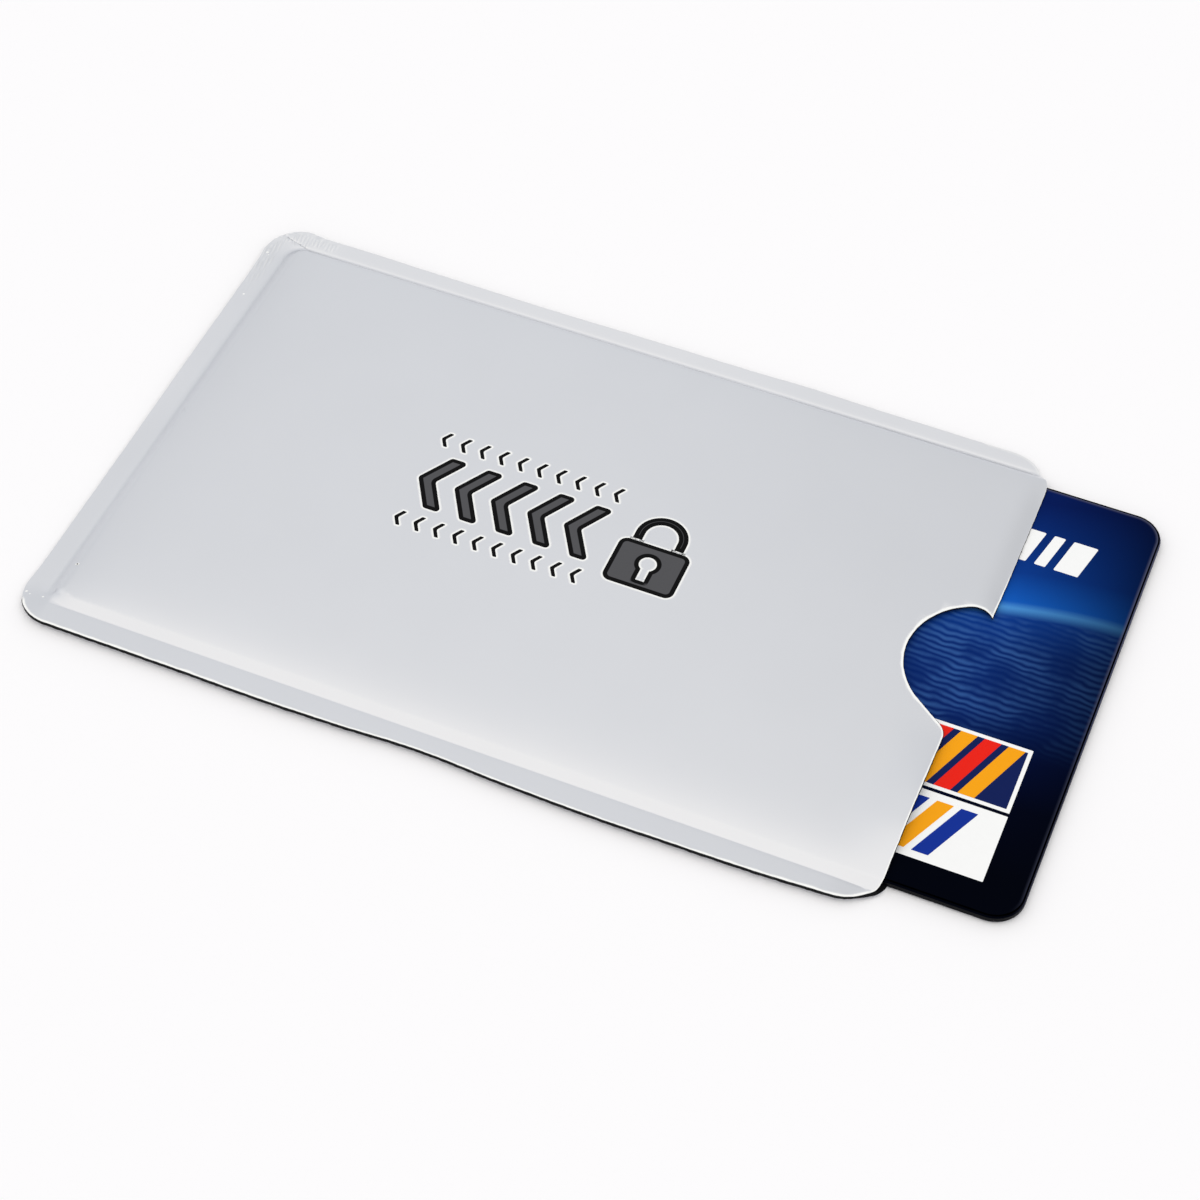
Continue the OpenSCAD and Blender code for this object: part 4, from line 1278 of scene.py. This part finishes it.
class SLEEVE_OT_studio(bpy.types.Operator):
    """Set the table, the light tent and the camera"""
    bl_idname = "card_sleeve.studio"
    bl_label = "Set the studio"

    def execute(self, context):
        look = context.scene.sleeve_studio
        self.table()
        self.light_tent(context.scene, look)
        self.camera(context.scene, look)
        context.scene.view_settings.view_transform = "Standard"
        return {"FINISHED"}

    def table(self):
        # A hair below the part, so that the two faces don't flicker
        half, drop = 4000.0, -0.02
        points = [(sx * half, sy * half, drop) for sx, sy in ((-1, -1), (1, -1), (1, 1), (-1, 1))]
        floor = add_mesh("table", points, [(0, 1, 2, 3)])
        made, tree = material("white_matt_card_board")
        shader = node(tree, "ShaderNodeBsdfDiffuse", {"Color": opaque(linear("#fefdff"))})
        node(tree, "ShaderNodeOutputMaterial", {"Surface": shader.outputs["BSDF"]})
        floor.data.materials.append(made)

    def light_tent(self, scene, look):
        """Soft light from all round, strongest from a large light overhead."""
        world = bpy.data.worlds.new("light_tent")
        world.use_nodes = True
        tree = world.node_tree
        tree.nodes.clear()
        place = node(tree, "ShaderNodeTexCoord")
        axes = node(tree, "ShaderNodeSeparateXYZ", {"Vector": place.outputs["Generated"]})
        overhead = Vector((0.0, -math.sin(look.top_lean), math.cos(look.top_lean)))
        past_mouth = Vector((0.12, 0.71, 0.69)).normalized()
        past_end = Vector((-0.56, 0.55, 0.62)).normalized()
        flag_inner, mouth_outer, end_outer = (math.radians(a) for a in (6, 20, 17))
        shares = []
        for middle, inner, outer in ((overhead, look.top_inner, look.top_outer),
                                     (past_mouth, flag_inner, mouth_outer),
                                     (past_end, flag_inner, end_outer)):
            towards = node(tree, "ShaderNodeVectorMath", {0: place.outputs["Generated"], 1: middle},
                           operation="DOT_PRODUCT")
            off = node(tree, "ShaderNodeMath", {0: towards.outputs["Value"]}, operation="ARCCOSINE")
            lit = node(tree, "ShaderNodeMapRange",
                       {"Value": off.outputs[0], "From Min": outer, "From Max": inner},
                       interpolation_type="SMOOTHSTEP")
            shares.append(lit.outputs["Result"])
        walls = node(tree, "ShaderNodeMapRange",
                     {"Value": axes.outputs["Z"], "From Min": 0.25, "From Max": 0.62,
                      "To Min": look.low_light, "To Max": look.tent_light}, interpolation_type="SMOOTHSTEP")
        behind = node(tree, "ShaderNodeMapRange",
                      {"Value": axes.outputs["Y"], "From Min": -0.1, "From Max": -0.6,
                       "To Min": 0.0, "To Max": look.near_light - look.tent_light},
                      interpolation_type="SMOOTHSTEP")
        dimmed = node(tree, "ShaderNodeMath", {0: walls.outputs["Result"], 1: behind.outputs["Result"]},
                      operation="ADD")
        for taken, strength in ((shares[1], look.flag), (shares[2], look.end_flag)):
            dimmed = node(tree, "ShaderNodeMath", {0: taken, 1: -strength, 2: dimmed.outputs[0]},
                          operation="MULTIPLY_ADD")
        gain = node(tree, "ShaderNodeMath", {0: look.top_light, 1: dimmed.outputs[0]}, operation="SUBTRACT")
        strength = node(tree, "ShaderNodeMath", {0: gain.outputs[0], 1: shares[0], 2: dimmed.outputs[0]},
                        operation="MULTIPLY_ADD")
        tint = node(tree, "ShaderNodeMix", {"Factor": shares[0], "A": opaque(look.wall_tint),
                                            "B": opaque(look.top_tint)}, data_type="RGBA")
        shader = node(tree, "ShaderNodeBackground",
                      {"Color": tint.outputs[2], "Strength": strength.outputs[0]})
        node(tree, "ShaderNodeOutputWorld", {"Surface": shader.outputs["Background"]})
        scene.world = world

    def camera(self, scene, look):
        a, e = look.azimuth, look.elevation
        back = Vector((math.sin(a) * math.cos(e), -math.cos(a) * math.cos(e), math.sin(e)))
        right = (-back).cross(Vector((0, 0, 1))).normalized()
        up = right.cross(-back)
        turn = Matrix.Rotation(look.roll, 3, back)
        right, up = turn @ right, turn @ up
        data = bpy.data.cameras.new("camera")
        data.lens = look.lens
        data.sensor_width = 36.0
        data.clip_start = 0.01
        made = bpy.data.objects.new("camera", data)
        # Where the line of sight passes the middle of the sleeve's back
        aside, below = 5.533 * MM, -6.551 * MM
        rotation = Matrix((right, up, back)).transposed().to_4x4()
        made.matrix_world = Matrix.Translation(back * look.distance + right * aside + up * below) @ rotation
        scene.collection.objects.link(made)
        scene.camera = made


class SLEEVE_PT_panel(bpy.types.Panel):
    bl_label = "Card sleeve"
    bl_idname = "SLEEVE_PT_panel"
    bl_space_type = "VIEW_3D"
    bl_region_type = "UI"
    bl_category = "Card sleeve"

    def draw(self, context):
        for key, operators in STEPS:
            box = self.layout.box()
            group = getattr(context.scene, key)
            for prop in group.bl_rna.properties:
                if prop.identifier not in ("rna_type", "name"):
                    box.prop(group, prop.identifier)
            for operator in operators:
                box.operator(operator.bl_idname)


GROUPS = {"sleeve_shape": SleeveShape, "sleeve_film": FilmLook, "sleeve_print": PrintShape,
          "sleeve_card": CardLook, "sleeve_studio": StudioLook}
STEPS = [("sleeve_shape", []), ("sleeve_film", [SLEEVE_OT_webs]), ("sleeve_print", [SLEEVE_OT_print]),
         ("sleeve_card", [SLEEVE_OT_card, SLEEVE_OT_card_art]), ("sleeve_studio", [SLEEVE_OT_studio])]
OPERATORS = [operator for _, operators in STEPS for operator in operators]


def register():
    for made in [*GROUPS.values(), *OPERATORS, SLEEVE_PT_panel]:
        bpy.utils.register_class(made)
    for key, group in GROUPS.items():
        setattr(bpy.types.Scene, key, PointerProperty(type=group))


def unregister():
    for key in GROUPS:
        delattr(bpy.types.Scene, key)
    for made in [SLEEVE_PT_panel, *OPERATORS[::-1], *list(GROUPS.values())[::-1]]:
        bpy.utils.unregister_class(made)


def main():
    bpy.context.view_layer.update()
    register()
    bpy.ops.card_sleeve.studio()
    bpy.ops.card_sleeve.webs()
    bpy.ops.card_sleeve.print()
    bpy.ops.card_sleeve.card()
    bpy.ops.card_sleeve.card_art()


if __name__ == "__main__":
    main()
